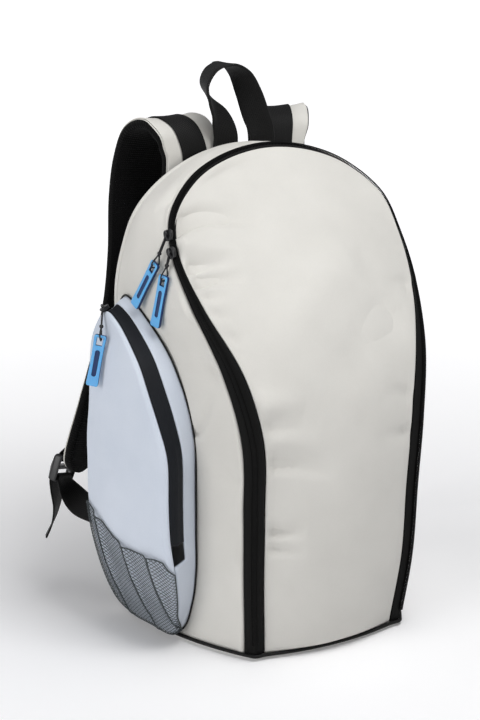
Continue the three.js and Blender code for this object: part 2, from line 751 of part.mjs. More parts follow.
function buildPocketWall() {
  const stationsAt = (seamPoint) => {
    const top = besideZip(seamPoint) ? POCKET_ZIP_START : POCKET_ZIP_END;
    const upper = (POCKET_ZIP_START + top) / 2;
    return [{ run: 0 }, { run: POCKET_ZIP_START / 2 }, { run: upper - CLEARANCE }, { run: top - CLEARANCE }];
  };
  return pocketWall(POCKET_SEAM_POINTS, stationsAt, 0, -POCKET_WALL, true);
}

function buildPocketZip() {
  const beside = POCKET_SEAM_POINTS.filter(besideZip).slice(1, -1);
  const stations = [0, 0.5, 1].map((share) => ({
    run: THREE.MathUtils.lerp(POCKET_ZIP_START, POCKET_ZIP_END - CLEARANCE, share),
  }));
  return pocketWall(beside, () => stations, 0, -POCKET_WALL, false);
}

// How high the net's top edge is on the flat side, at a place forward.
function netTopAt(flatForward) {
  const forward = flatForward / BODY_DEPTH;
  const straight = THREE.MathUtils.lerp(NET_TOP.backUp, NET_TOP.frontUp, forward);
  return (straight - NET_TOP.sag * 4 * forward * (1 - forward)) * SIDE_RISE;
}

// The net pouch over the face and the back wall of the pocket, open along its top edge. Round the
// front it is sewn to the corner that the zip runs down to.
function buildPocketNet() {
  const isBelow = (p) => p.y < netTopAt(p.x) - NET_SEAM_DROP;
  const first = POCKET_SEAM_POINTS.findIndex((p, i) => isBelow(p) && !isBelow(POCKET_SEAM_POINTS.at(i - 1)));
  const turned = [...POCKET_SEAM_POINTS.slice(first), ...POCKET_SEAM_POINTS.slice(0, first)];
  const stationsAt = (seamPoint) => {
    const turn = THREE.MathUtils.smoothstep(seamPoint.x / BODY_DEPTH, NET_TURN.from, NET_TURN.to);
    const start = THREE.MathUtils.lerp(NET_START, POCKET_ZIP_END, turn);
    const most = netReach(seamPoint);
    return [
      { run: start },
      { run: Math.max(start, POCKET_ZIP_START) },
      { run: POCKET_ZIP_END },
      ...FACE_SHARES.slice(0, -1).map((share) => ({ run: POCKET_CORNER_END, inward: Math.min(share, most) })),
      { run: POCKET_CORNER_END, inward: most },
    ];
  };
  return pocketWall(turned.filter(isBelow), stationsAt, NET_SLACK + NET_THICKNESS, NET_SLACK, false);
}

// The share of the way from the skin's corner to the middle of the face at which the net ends.
function netReach(seamPoint) {
  const arm = seamPoint.clone().sub(POCKET_MIDDLE);
  const wall = (POCKET_DEPTH - POCKET_CORNER) * pocketLean(arm);
  arm.setLength(arm.length() - (wall + POCKET_CORNER) * pocketDepthShare(seamPoint.y));
  const below = (place) => netTopAt(place.x) - place.y;
  const atCorner = below(POCKET_MIDDLE.clone().add(arm));
  return atCorner / (atCorner - below(POCKET_MIDDLE));
}

function buildPocketPiping() {
  const radius = POCKET_PIPING_RADIUS;
  const rings = POCKET_SEAM_POINTS.map((seamPoint) => {
    const out = seamPoint.clone().sub(POCKET_MIDDLE).normalize();
    const flat = seamPoint.clone().addScaledVector(out, radius + 2 * CLEARANCE);
    const up = flat.y / SIDE_RISE;
    const forward = flat.x / BODY_DEPTH;
    const normal = sideNormal(up, forward);
    const centre = sideAt(up, forward, radius + CLEARANCE);
    const sideways = pocketPoint(seamPoint, { run: 0 }).sub(centre).projectOnPlane(normal).normalize();
    return roundSection(centre, sideways, normal, radius, POCKET_PIPING_SIDES);
  });
  return loft(rings, true);
}

// Straps, webbing and the grab handle, made on the left and mirrored

// A flat band along stations that hold a centre, a sideways and an outward direction, and a half
// width. It lies between two heights above the centre. A rounded band has its long edges chamfered.
function band(stations, low, high, margin = 0, chamfer = 0) {
  const middle = STRAP_WEBBING_WIDTH / 2;
  return loft(
    stations.map(({ centre, sideways, outward, half }) => {
      const place = (across, height) =>
        centre.clone().addScaledVector(sideways, across).addScaledVector(outward, height);
      const edge = half - margin;
      const inset = edge - chamfer;
      const columns = inset > middle + CLEARANCE ? [-inset, -middle, middle, inset] : [-inset, inset];
      const shares = chamfer ? CHAMFER_SHARES : [];
      const sideHeights = shares.map((share) => THREE.MathUtils.lerp(low, high, share));
      return [
        ...columns.map((across) => place(across, low)),
        ...sideHeights.map((height) => place(edge, height)),
        ...columns.toReversed().map((across) => place(across, high)),
        ...sideHeights.toReversed().map((height) => place(-edge, height)),
      ];
    }),
  );
}

// A level direction, at an angle in degrees from the X axis.
function levelDirection(yaw) {
  const angle = THREE.MathUtils.degToRad(yaw);
  return new THREE.Vector3(Math.cos(angle), Math.sin(angle), 0);
}

// Stations along a curve. The band's width follows the side direction as far as its run allows.
function stationsAlong(points, halves, spans, sideOf) {
  const curve = new THREE.CatmullRomCurve3(points, false, "centripetal");
  const widths = smoothThrough(halves.map((half) => new THREE.Vector3(half, 0, 0)));
  return Array.from({ length: spans + 1 }, (_, i) => {
    const share = i / spans;
    const centre = curve.getPoint(share);
    const along = curve.getTangent(share);
    const sideways = sideOf(share).projectOnPlane(along).normalize();
    const outward = sideways.clone().cross(along).normalize();
    return { centre, along, sideways, outward, half: widths(share).x };
  });
}

// A place behind the bag, from shares of its width, its depth and its height.
function behindBack({ across, behind, up }) {
  return new THREE.Vector3((across * BODY_WIDTH) / 2, BACK_FACE_Y + behind * BODY_DEPTH, up * BODY_HEIGHT);
}

const STRAP = stationsAlong(
  STRAP_STATIONS.map(behindBack),
  STRAP_STATIONS.map((station) => (station.half * STRAP_WIDTH) / 2),
  STRAP_SPANS,
  smoothThrough(STRAP_STATIONS.map(({ yaw }) => levelDirection(yaw))),
);
const PAD_TOP = STRAP_PAD_THICKNESS / 2;
const FACE_LOW = PAD_TOP + CLEARANCE;
const FACE_TOP = FACE_LOW + STRAP_FACE_THICKNESS;
const STRAP_WEBBING_LOW = FACE_TOP + CLEARANCE;
const STRAP_END = STRAP[STRAP.length - 1];

function buildStrapPad() {
  return band(STRAP, -PAD_TOP, PAD_TOP, 0, STRAP_CHAMFER);
}

function buildStrapFace() {
  return band(STRAP, FACE_LOW, FACE_TOP, STRAP_FACE_MARGIN);
}

// The buckle's own frame: down runs on from the strap's end, and out is the strap's outer side.
// Webbing that goes round a bar stands off its middle by BAR_TURN.
const BUCKLE_LENGTH = 3 * BUCKLE_BAR + 2 * BUCKLE_SLOT;
const BUCKLE_HALF = STRAP_WEBBING_WIDTH / 2 + BUCKLE_PLAY;
const BAR_TURN = (BUCKLE_BAR / 2) * Math.SQRT2 + CLEARANCE + WEBBING_THICKNESS / 2;
const BUCKLE_OUT = STRAP_WEBBING_LOW + WEBBING_THICKNESS / 2 + CLEARANCE + BAR_TURN;

function fromStrapEnd(down, across, out) {
  return STRAP_END.centre
    .clone()
    .addScaledVector(STRAP_END.along, down)
    .addScaledVector(STRAP_END.sideways, across)
    .addScaledVector(STRAP_END.outward, out);
}

function buildBuckle() {
  const outline = new THREE.Shape();
  const half = BUCKLE_HALF + BUCKLE_CHEEK;
  const corner = BUCKLE_CORNER;
  outline.moveTo(-half + corner, 0).lineTo(half - corner, 0).quadraticCurveTo(half, 0, half, corner);
  outline.lineTo(half - BUCKLE_TAPER, BUCKLE_LENGTH).lineTo(-half + BUCKLE_TAPER, BUCKLE_LENGTH);
  outline.lineTo(-half, corner).quadraticCurveTo(-half, 0, -half + corner, 0);
  for (const row of [0, 1]) {
    const low = BUCKLE_BAR + row * (BUCKLE_BAR + BUCKLE_SLOT);
    const slot = new THREE.Path();
    slot.moveTo(-BUCKLE_HALF, low).lineTo(-BUCKLE_HALF, low + BUCKLE_SLOT);
    slot.lineTo(BUCKLE_HALF, low + BUCKLE_SLOT).lineTo(BUCKLE_HALF, low);
    outline.holes.push(slot);
  }
  const form = { depth: BUCKLE_BAR, bevelEnabled: false, curveSegments: CORNER_SPANS };
  const plate = new THREE.ExtrudeGeometry(outline, form);
  const { sideways, along } = STRAP_END;
  const frame = new THREE.Matrix4().makeBasis(sideways, along, sideways.clone().cross(along));
  frame.setPosition(fromStrapEnd(BUCKLE_DROP, 0, BUCKLE_OUT - BUCKLE_BAR / 2));
  return plate.applyMatrix4(frame);
}

const TURN_STEPS = [-90, -45, 0, 45, 90].map(THREE.MathUtils.degToRad);

// Webbing round a bar of the buckle, which stands off it on the side that way points to.
function roundBar(bar, way, from) {
  const steps = from > 0 ? TURN_STEPS.toReversed() : TURN_STEPS;
  return steps.map((angle) =>
    fromStrapEnd(bar + way * BAR_TURN * Math.cos(angle), 0, BUCKLE_OUT + BAR_TURN * Math.sin(angle)),
  );
}

// A strip of webbing along a route of places and of the directions that its width runs in.
function webbing(route, spans) {
  const across = smoothThrough(route.map(({ sideways }) => sideways));
  const halves = route.map(() => STRAP_WEBBING_WIDTH / 2);
  const stations = stationsAlong(route.map(({ at }) => at), halves, spans, across);
  return band(stations, -WEBBING_THICKNESS / 2, WEBBING_THICKNESS / 2);
}

// The strip down the middle of the strap stops short of its end, where the loop begins.
function buildStrapWebbing() {
  const half = STRAP_WEBBING_WIDTH / 2;
  const strip = STRAP.slice(0, 1 - LOOP_STATIONS).map((station) => ({ ...station, half }));
  return band(strip, STRAP_WEBBING_LOW, STRAP_WEBBING_LOW + WEBBING_THICKNESS);
}

// The loop lies on the strip, goes round the buckle's upper bar and comes back behind it.
function buildBuckleLoop() {
  const bar = BUCKLE_DROP + BUCKLE_BAR / 2;
  const lying = STRAP_WEBBING_LOW + 1.5 * WEBBING_THICKNESS + 3 * CLEARANCE;
  const last = STRAP[STRAP.length - LOOP_STATIONS];
  const onStrip = last.centre.clone().addScaledVector(last.outward, lying);
  const places = [
    onStrip.clone().addScaledVector(last.along, -LOOP_OVERLAP),
    onStrip.clone().addScaledVector(last.outward, CLEARANCE),
    ...roundBar(bar, 1, 1),
    fromStrapEnd(bar - 2 * BUCKLE_BAR, 0, BUCKLE_OUT - BAR_TURN),
  ];
  return webbing(places.map((at) => ({ at, sideways: STRAP_END.sideways })), LOOP_SPANS);
}

// The webbing from the foot of the back panel to the buckle, over its lower bar and down again as a
// free tail.
function buildLowerWebbing() {
  const bar = BUCKLE_DROP + BUCKLE_LENGTH - BUCKLE_BAR / 2;
  const degrees = THREE.MathUtils.degToRad;
  const rise = LOWER_ROUTE.map((place) => ({
    at: behindBack(place),
    sideways: new THREE.Vector3(Math.cos(degrees(place.turn)), 0, Math.sin(degrees(place.turn))),
  }));
  const turned = roundBar(bar, -1, -1).map((at) => ({ at, sideways: STRAP_END.sideways }));
  const front = turned[turned.length - 1].at;
  const tail = TAIL_ROUTE.map(({ down, out, aside, yaw }) => ({
    at: front.clone().addScaledVector(new THREE.Vector3(aside, out, -down), TAIL_LENGTH),
    sideways: levelDirection(yaw),
  }));
  return webbing([...rise, ...turned, ...tail], LOWER_WEBBING_SPANS);
}

function buildHandle() {
  const turns = smoothThrough(HANDLE_STATIONS.map(({ turn }) => new THREE.Vector3(turn, 0, 0)));
  const stations = stationsAlong(
    HANDLE_STATIONS.map(behindBack),
    HANDLE_STATIONS.map(() => HANDLE_WIDTH / 2),
    HANDLE_SPANS,
    (share) => {
      const turn = THREE.MathUtils.degToRad(turns(share).x);
      const facing = share < 0.5 ? 1 : -1;
      return new THREE.Vector3(facing * Math.cos(turn), Math.sin(turn), 0);
    },
  );
  return band(stations, -HANDLE_THICKNESS / 2, HANDLE_THICKNESS / 2);
}

// Sliders and pulls

// A moulded pull in its own plane: it hangs down from an eye at its top edge.
function pullGeometry() {
  const outline = new THREE.Shape();
  const half = PULL_WIDTH / 2;
  const waist = PULL_WAIST / 2;
  const corner = PULL_CORNER;
  outline.moveTo(-half + corner, 0).lineTo(half - corner, 0).quadraticCurveTo(half, 0, half, -corner);
  outline.quadraticCurveTo(waist, -PULL_LENGTH / 2, half, -PULL_LENGTH + corner);
  outline.quadraticCurveTo(half, -PULL_LENGTH, half - corner, -PULL_LENGTH);
  outline.lineTo(-half + corner, -PULL_LENGTH);
  outline.quadraticCurveTo(-half, -PULL_LENGTH, -half, -PULL_LENGTH + corner);
  outline.quadraticCurveTo(-waist, -PULL_LENGTH / 2, -half, -corner);
  outline.quadraticCurveTo(-half, 0, -half + corner, 0);
  const eye = new THREE.Path();
  const top = -PULL_TOP_BAR;
  eye.moveTo(-PULL_EYE_WIDTH / 2, top).lineTo(-PULL_EYE_WIDTH / 2, top - PULL_EYE_LENGTH);
  eye.lineTo(PULL_EYE_WIDTH / 2, top - PULL_EYE_LENGTH).lineTo(PULL_EYE_WIDTH / 2, top);
  outline.holes.push(eye);
  const form = { depth: PULL_THICKNESS, bevelEnabled: false, curveSegments: CORNER_SPANS };
  const plate = new THREE.ExtrudeGeometry(outline, form);
  return plate.translate(0, 0, -PULL_THICKNESS / 2);
}

// The cord loop that runs from a slider through the pull's eye, in the plane of the pull's length
// and thickness, round the bar above the eye. Its two strands join above the pull.
function cordLoop(length) {
  const inner = PULL_THICKNESS / 2 + CORD_SLACK;
  const outer = inner + CORD_THICKNESS;
  const foot = -PULL_TOP_BAR / 2 - CORD_SLACK;
  const ring = new THREE.Shape();
  ring.moveTo(-outer, foot - CORD_THICKNESS).lineTo(outer, foot - CORD_THICKNESS);
  ring.lineTo(outer, 0).lineTo(CORD_THICKNESS, CORD_JOIN).lineTo(CORD_THICKNESS, length);
  ring.lineTo(-CORD_THICKNESS, length).lineTo(-CORD_THICKNESS, CORD_JOIN).lineTo(-outer, 0);
  const hole = new THREE.Path();
  hole.moveTo(-inner, foot).lineTo(-inner, 0).lineTo(0, CORD_JOIN - CORD_THICKNESS);
  hole.lineTo(inner, 0).lineTo(inner, foot);
  ring.holes.push(hole);
  const loop = new THREE.ExtrudeGeometry(ring, { depth: CORD_THICKNESS, bevelEnabled: false });
  return loop.translate(0, 0, -CORD_THICKNESS / 2).rotateY(Math.PI / 2);
}

// A slider at one place, its pull's head at another and the pull's foot towards a third, with the
// pull's flat side looking in a level direction. along is the zip's direction and outward is the
// direction that the cloth faces.
function hang(slider, head, foot, facing, along, outward) {
  const upwards = head.clone().sub(foot).normalize();
  const sideways = upwards.clone().cross(levelDirection(facing)).normalize();
  const ahead = sideways.clone().cross(upwards).normalize();
  const pullFrame = new THREE.Matrix4().makeBasis(sideways, upwards, ahead).setPosition(head);
  const pull = pullGeometry().applyMatrix4(pullFrame);

  const hook = slider.clone().addScaledVector(outward, SLIDER_HEIGHT * HOOK_SHARE);
  const bar = head.clone().addScaledVector(upwards, -PULL_TOP_BAR / 2);
  const reach = hook.sub(bar);
  const across = reach.clone().cross(ahead).normalize();
  const cordUp = reach.clone().normalize();
  const cordFrame = new THREE.Matrix4().makeBasis(across, cordUp, across.clone().cross(cordUp));
  const cord = cordLoop(reach.length()).applyMatrix4(cordFrame.setPosition(bar));

  const aside = along.clone().cross(outward).normalize();
  const bodyFrame = new THREE.Matrix4().makeBasis(aside, along, aside.clone().cross(along));
  const body = new THREE.BoxGeometry(SLIDER_WIDTH, SLIDER_LENGTH, SLIDER_HEIGHT);
  body.applyMatrix4(bodyFrame.setPosition(slider));
  return { pull, slider: joined(cord, body) };
}

// The two pulls of the main zip meet high on the left side and lie on the side panel.
function hangMainPulls() {
  const pullLift = PULL_THICKNESS / 2 + CORD_SLACK + CORD_THICKNESS + CLEARANCE;
  const sliderLift = 3 * CLEARANCE + ZIP_COIL_HEIGHT + SLIDER_HEIGHT / 2;
  for (const { name, slider, headForward, headUp, footForward, footUp, facing } of MAIN_PULLS) {
    const onZip = (up) => tapePoint(up, 0, sliderLift);
    const along = onZip(slider + TINY).sub(onZip(slider - TINY)).normalize();
    const outward = onZip(slider).sub(tapePoint(slider, 0, 0)).normalize();
    const head = sideAt(headUp, headForward, pullLift + CLEARANCE);
    const foot = sideAt(footUp, footForward, pullLift);
    const hung = hang(onZip(slider), head, foot, facing, along, outward);
    add(`main_zip_pull_${name}`, hung.pull, MATERIALS.pullBlue);
    add(`main_zip_slider_${name}`, hung.slider, MATERIALS.plastic);
  }
}

// The pull of the pocket's zip hangs from its slider at the crest, over the pocket's face.
function hangPocketPull() {
  const seamPoint = POCKET_SEAM_POINTS.reduce((best, p) => (p.y > best.y ? p : best));
  const middle = { run: THREE.MathUtils.lerp(POCKET_ZIP_START, POCKET_ZIP_END, POCKET_SLIDER_ACROSS) };
  const lift = POCKET_SLIDER_LIFT + SLIDER_HEIGHT / 2;
  const slider = pocketPoint(seamPoint, middle, lift);
  const outward = slider.clone().sub(pocketPoint(seamPoint, middle, 0)).normalize();
  const next = POCKET_SEAM_POINTS.at(POCKET_SEAM_POINTS.indexOf(seamPoint) - 1);
  const along = pocketPoint(next, middle, lift).sub(slider).projectOnPlane(outward).normalize();
  const pullLift = POCKET_SEAM_LIFT + PULL_THICKNESS / 2 + CORD_THICKNESS + POCKET_PULL_CLEARANCE;
  const onFace = (forward, up) =>
    sideAt(up, forward, pullLift + POCKET_DEPTH * pocketDepthShare(up * SIDE_RISE));
  const head = onFace(POCKET_PULL.headForward, POCKET_PULL.headUp);
  const foot = onFace(POCKET_PULL.footForward, POCKET_PULL.footUp);
  const hung = hang(slider, head, foot, POCKET_PULL.facing, along, outward);
  add("pocket_pull", hung.pull, MATERIALS.pullBlue);
  add("pocket_slider", hung.slider, MATERIALS.plastic);
}

// Assembly

add("side_panel", buildSidePanel(), MATERIALS.beigeCloth);
add("front_door", buildDoor(), MATERIALS.beigeCloth);
add("back_panel", buildBackPanel(), MATERIALS.airMesh);
add("base_panel", buildBasePanel(), MATERIALS.beigeCloth);
add("base_piping", buildBasePiping(), MATERIALS.webbing);
add("main_zip_tape", buildZipTape(), MATERIALS.zipBlack);
add("main_zip_coil", buildZipCoil(), MATERIALS.zipBlack);
hangMainPulls();

add("pocket_panel", buildPocketPanel(), MATERIALS.blueCloth);
add("pocket_wall", buildPocketWall(), MATERIALS.blueCloth);
add("pocket_zip_tape", buildPocketZip(), MATERIALS.zipBlack);
add("pocket_net", buildPocketNet(), MATERIALS.net);
add("pocket_piping", buildPocketPiping(), MATERIALS.webbing);
hangPocketPull();

const SIDE_PIECES = [
  { name: "strap_pad", build: buildStrapPad, material: MATERIALS.airMesh },
  { name: "strap_face", build: buildStrapFace, material: MATERIALS.beigeCloth },
  { name: "strap_webbing", build: buildStrapWebbing, material: MATERIALS.webbing },
  { name: "strap_buckle", build: buildBuckle, material: MATERIALS.plastic },
  { name: "buckle_loop", build: buildBuckleLoop, material: MATERIALS.webbing },
  { name: "lower_webbing", build: buildLowerWebbing, material: MATERIALS.webbing },
];
for (const { name, build, material } of SIDE_PIECES) {
  const left = build();
  add(`${name}_left`, left, material);
  add(`${name}_right`, mirrored(left), material);
}
add("grab_handle", buildHandle(), MATERIALS.webbing);

export default bag;
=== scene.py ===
"""A cooler backpack, zipped shut and standing by itself on a pale floor.

The geometry is worked out in millimetres, +Z up, with the front facing -Y, and is written to the
meshes in metres. Surfaces are grids of points: rows run along a piece and columns across it.
"""
import math

import bpy
import numpy as np
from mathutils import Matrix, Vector


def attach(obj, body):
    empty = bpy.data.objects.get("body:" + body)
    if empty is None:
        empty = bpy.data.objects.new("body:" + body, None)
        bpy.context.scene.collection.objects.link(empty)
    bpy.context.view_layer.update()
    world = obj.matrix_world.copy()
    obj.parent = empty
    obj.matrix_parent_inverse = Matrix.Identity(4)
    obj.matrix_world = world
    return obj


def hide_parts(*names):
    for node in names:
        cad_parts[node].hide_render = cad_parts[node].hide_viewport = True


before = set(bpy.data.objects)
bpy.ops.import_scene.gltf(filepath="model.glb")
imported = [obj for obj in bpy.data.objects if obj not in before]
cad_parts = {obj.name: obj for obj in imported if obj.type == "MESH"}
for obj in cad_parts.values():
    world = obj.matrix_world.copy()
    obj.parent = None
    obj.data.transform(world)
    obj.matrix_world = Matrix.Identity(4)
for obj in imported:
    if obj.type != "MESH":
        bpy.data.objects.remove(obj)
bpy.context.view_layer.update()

MM = 0.001
TINY = 1e-3

# The body
BODY_WIDTH = 260
BODY_HEIGHT = 436
BODY_DEPTH = 168
BACK_SEAM_Y = 75
WALL = 5
BASE_THICKNESS = 4
BACK_THICKNESS = 7
CLEARANCE = 0.35
BASE_TOP = BASE_THICKNESS + CLEARANCE
BACK_FACE_Y = BACK_SEAM_Y + CLEARANCE + BACK_THICKNESS

# The main zip
ZIP_TAPE_WIDTH = 19
ZIP_TAPE_THICKNESS = 2
ZIP_COIL_WIDTH = 5
ZIP_COIL_HEIGHT = 2
ZIP_COIL_FOOT_UP = 0.015

# The front door
DOOR_BOW = 20
DOOR_FOOT_BOW = 9
DOOR_CORNER = 0.7
DOOR_EDGE_INSET = 9

# The piping
BASE_PIPING_RADIUS = 1.6
POCKET_PIPING_RADIUS = 0.8

# The side pocket
POCKET_DEPTH = 33
POCKET_WALL = 1.8
POCKET_SEAM_LIFT = 0.7
POCKET_CORNER = 9
POCKET_SIDE_LEAN = -0.06
POCKET_CREST_LEAN = 0.9
POCKET_ZIP_START = 15
POCKET_ZIP_WIDTH = 15
NET_SLACK = 1.6
NET_START = 5
NET_SEAM_DROP = 9
NET_TOP_UP = (0.1826, 0.1746)
NET_SAG = 0.05
NET_TURN = (0.54, 0.63)
NET_CELL = 2.5
NET_STRAND = 0.6
NET_BOUND_EDGE = 1.3
NET_PLEATS = [(0.17, 0.2), (0.36, 0.43), (0.53, 0.6)]
NET_PLEAT_UP = (0.15, 0.03)
NET_PLEAT_HEIGHT = 3.2
NET_PLEAT_WIDTH = 3.6

# Straps and handle
STRAP_WIDTH = 60
STRAP_PAD_THICKNESS = 9
STRAP_FACE_THICKNESS = 1.4
STRAP_FACE_MARGIN = 2.5
WEBBING_THICKNESS = 1.6
STRAP_WEBBING_WIDTH = 25
TAIL_LENGTH = 60
HANDLE_WIDTH = 25
HANDLE_THICKNESS = 2.6

# The buckles
BUCKLE_BAR = 4
BUCKLE_SLOT = 7
BUCKLE_CHEEK = 4
LOOP_OVERLAP = 10
LOOP_STATIONS = 3
BUCKLE_DROP = -12

# The pulls and sliders
PULL_LENGTH = 47
PULL_WIDTH = 11
PULL_WAIST = 9
PULL_THICKNESS = 3.6
PULL_EYE_LENGTH = 7
PULL_EYE_WIDTH = 5.4
PULL_TOP_BAR = 2.6
CORD_THICKNESS = 1.4
CORD_JOIN = 7
CORD_SLACK = 1.5
SLIDER_LENGTH = 10
SLIDER_WIDTH = 9
SLIDER_HEIGHT = 4.5
HOOK_SHARE = 0.4

# Sections up one side of the body: the half width and the rise of the back seam, then the half width,
# the reach forward and the rise of the middle of the zip's tape. Halves are shares of half the body's
# width, reaches of its depth and rises of its height.
SIDE_SECTIONS = [
    (0.954, 0, 0.585, 0.923, 0),
    (0.992, 0.16, 0.63, 0.97, 0.16),
    (1, 0.321, 0.642, 0.988, 0.317),
    (1, 0.47, 0.662, 1, 0.468),
    (1, 0.608, 0.746, 0.905, 0.606),
    (1, 0.716, 0.846, 0.685, 0.725),
    (0.938, 0.803, 0.873, 0.494, 0.814),
    (0.831, 0.876, 0.815, 0.375, 0.888),
    (0.615, 0.936, 0.6, 0.28, 0.95),
    (0.323, 0.977, 0.323, 0.232, 0.986),
    (0, 0.991, 0, 0.22, 1),
]

# At the same sections: the side's bulge as a share of the body's depth, the zip's width as a share of
# its full width, and how far, in degrees, its front half is folded round to the front.
SIDE_FORM = [
    (0.083, 1, 58),
    (0.083, 1, 58),
    (0.083, 1.05, 58),
    (0.083, 1.08, 55),
    (0.071, 1.04, 45),
    (0.054, 0.64, 20),
    (0.042, 0.46, 0),
    (0.03, 0.44, 0),
    (0.018, 0.54, 0),
    (0.012, 0.64, 0),
    (0.012, 0.66, 0),
]

# The pocket's seam: the share of the way from the back seam to the zip, and from floor to crown.
POCKET_SEAM = [
    (0.55, 0.014), (0.635, 0.06), (0.668, 0.11), (0.668, 0.16), (0.668, 0.23), (0.665, 0.3),
    (0.632, 0.368), (0.55, 0.43), (0.39, 0.475), (0.19, 0.491), (0.06, 0.457), (0.035, 0.4),
    (0.035, 0.25), (0.035, 0.11), (0.05, 0.03), (0.2, 0.014), (0.38, 0.014),
]
POCKET_DEPTH_HEIGHTS = 0.08
POCKET_DEPTH_SHARES = [0.3, 0.78, 1.1, 1.13, 1.08, 0.94, 0.62]
POCKET_CENTRE = (0.34, 0.235)
POCKET_ZIP_LOWEST_UP = 0.125
POCKET_ZIP_CREST_FORWARD = 0.1
POCKET_PULL = {"head": (0.275, 0.438), "foot": (0.225, 0.373), "facing": 235}
POCKET_PULL_CLEARANCE = 4.4
POCKET_SLIDER_LIFT = 1.7
POCKET_SLIDER_ACROSS = 0.95

# The middle line of the left shoulder strap: across as a share of half the body's width, behind as a
# share of its depth from the back panel's face, up as a share of its height, half as a share of half
# the strap's width, and the yaw of its width in degrees.
STRAP_STATIONS = [
    (-0.346, 0.0717, 0.8532, 0.9, 0), (-0.346, 0.0717, 0.922, 0.95, 0),
    (-0.346, 0.0717, 0.977, 0.967, 0), (-0.385, 0.111, 1.0138, 1, 0),
    (-0.446, 0.2, 1.0252, 1, 0), (-0.508, 0.2836, 1.0046, 1, 0),
    (-0.546, 0.3313, 0.952, 1, 0), (-0.577, 0.349, 0.8716, 1, 0),
    (-0.6, 0.343, 0.7454, 1, 0), (-0.662, 0.331, 0.6307, 1, 3),
    (-0.792, 0.3134, 0.523, 0.967, 9), (-0.931, 0.3074, 0.431, 0.9, 17),
    (-1.0385, 0.31, 0.3624, 0.85, 25), (-1.092, 0.315, 0.321, 0.8, 28),
    (-1.146, 0.32, 0.28, 0.6, 30),
]
STRAP_SPANS = 24

# The lower webbing from the back panel to the buckle in the same shares, with the turn of its width,
# and its free tail as shares of its length: down, out and aside from the buckle, with its yaw.
LOWER_ROUTE = [
    (-0.8, 0.0116, 0.1697, 78), (-0.9, 0.0134, 0.1812, 78), (-1, 0.0515, 0.1927, 74),
    (-1.085, 0.1527, 0.2064, 60), (-1.146, 0.2658, 0.2133, 32),
]
TAIL_ROUTE = [
    (0.167, 0.033, 0, 36), (0.467, 0.05, 0, 48), (0.733, 0.05, -0.067, 56), (1, 0.033, -0.217, 60),
]

# The middle line of the grab handle in the same shares, with the webbing's turn about its length.
HANDLE_STATIONS = [
    (-0.131, 0.011, 0.913, 0), (-0.115, 0.011, 0.9725, 0), (-0.108, 0.0134, 1.0046, 2),
    (-0.146, 0.0217, 1.0436, 22), (-0.215, 0.0336, 1.078, 58), (-0.254, 0.0396, 1.1124, 78),
    (-0.2, 0.0396, 1.142, 84), (-0.085, 0.0396, 1.1514, 78), (0.015, 0.0336, 1.1307, 60),
    (0.085, 0.0277, 1.0894, 42), (0.1385, 0.0217, 1.0436, 22), (0.185, 0.0134, 1.0046, 3),
    (0.185, 0.011, 0.9725, 0), (0.169, 0.011, 0.913, 0),
]

# The two pulls of the main zip: the slider's place, where the head and foot of its pull lie, and the
# level direction, in degrees from the X axis, that its flat side looks in.
MAIN_PULLS = [
    {"name": "a", "slider": 0.61, "head": (0.84, 0.557), "foot": (0.55, 0.45), "facing": 196},
    {"name": "b", "slider": 0.65, "head": (0.77, 0.58), "foot": (0.53, 0.52), "facing": 186},
]


# Lines and directions

def unit(vectors):
    return vectors / np.linalg.norm(vectors, axis=-1, keepdims=True)


def dot(a, b):
    return np.sum(a * b, axis=-1, keepdims=True)


def mix(a, b, share):
    share = np.asarray(share, float)
    if share.ndim:
        share = share[..., None]
    return np.asarray(a, float) * (1 - share) + np.asarray(b, float) * share


def smooth_line(points, closed=False):
    """A smooth function of 0 to 1 through points that are evenly spaced in its argument."""
    points = np.asarray(points, float)
    spans = len(points) if closed else len(points) - 1
    if closed:
        padded = np.concatenate([points[-1:], points, points[:2]])
    else:
        padded = np.concatenate([2 * points[:1] - points[1:2], points, 2 * points[-1:] - points[-2:-1]])

    def at(share):
        place = np.clip(share, 0, 1) * spans
        first = np.minimum(np.floor(place).astype(int), spans - 1)
        rest = place - first
        if points.ndim > 1:
            rest = rest[..., None]
        before, here, there, after = (padded[first + k] for k in range(4))
        start = (there - before) / 2
        end = (after - here) / 2
        bend = -3 * here + 3 * there - 2 * start - end
        return here + start * rest + bend * rest**2 + (2 * here - 2 * there + start + end) * rest**3

    return at


def even_line(points):
    """A smooth function of 0 to 1 through points, which paces each span by its length."""
    points = np.asarray(points, float)
    padded = np.concatenate([2 * points[:1] - points[1:2], points, 2 * points[-1:] - points[-2:-1]])

    def at(share):
        place = np.clip(share, 0, 1) * (len(points) - 1)
        first = np.minimum(np.floor(place).astype(int), len(points) - 2)
        rest = (place - first)[..., None]
        p = [padded[first + k] for k in range(4)]
        gap = [np.sqrt(np.linalg.norm(p[k + 1] - p[k], axis=-1, keepdims=True)) for k in range(3)]
        step = [p[k + 1] - p[k] for k in range(3)]
        start = gap[1] * (step[0] / gap[0] - (p[2] - p[0]) / (gap[0] + gap[1]) + step[1] / gap[1])
        end = gap[1] * (step[1] / gap[1] - (p[3] - p[1]) / (gap[1] + gap[2]) + step[2] / gap[2])
        bend = -3 * p[1] + 3 * p[2] - 2 * start - end
        return p[1] + start * rest + bend * rest**2 + (2 * p[1] - 2 * p[2] + start + end) * rest**3

    return at


def run_lengths(points):
    """The distance along a line of points, from its first one."""
    steps = np.linalg.norm(np.diff(points, axis=0), axis=-1)
    return np.concatenate([[0], np.cumsum(steps)])


def respaced(points, count):
    """The same line as evenly spaced points."""
    lengths = run_lengths(points)
    wanted = np.linspace(0, lengths[-1], count)
    return np.stack([np.interp(wanted, lengths, points[:, k]) for k in range(points.shape[1])], -1)


# Meshes

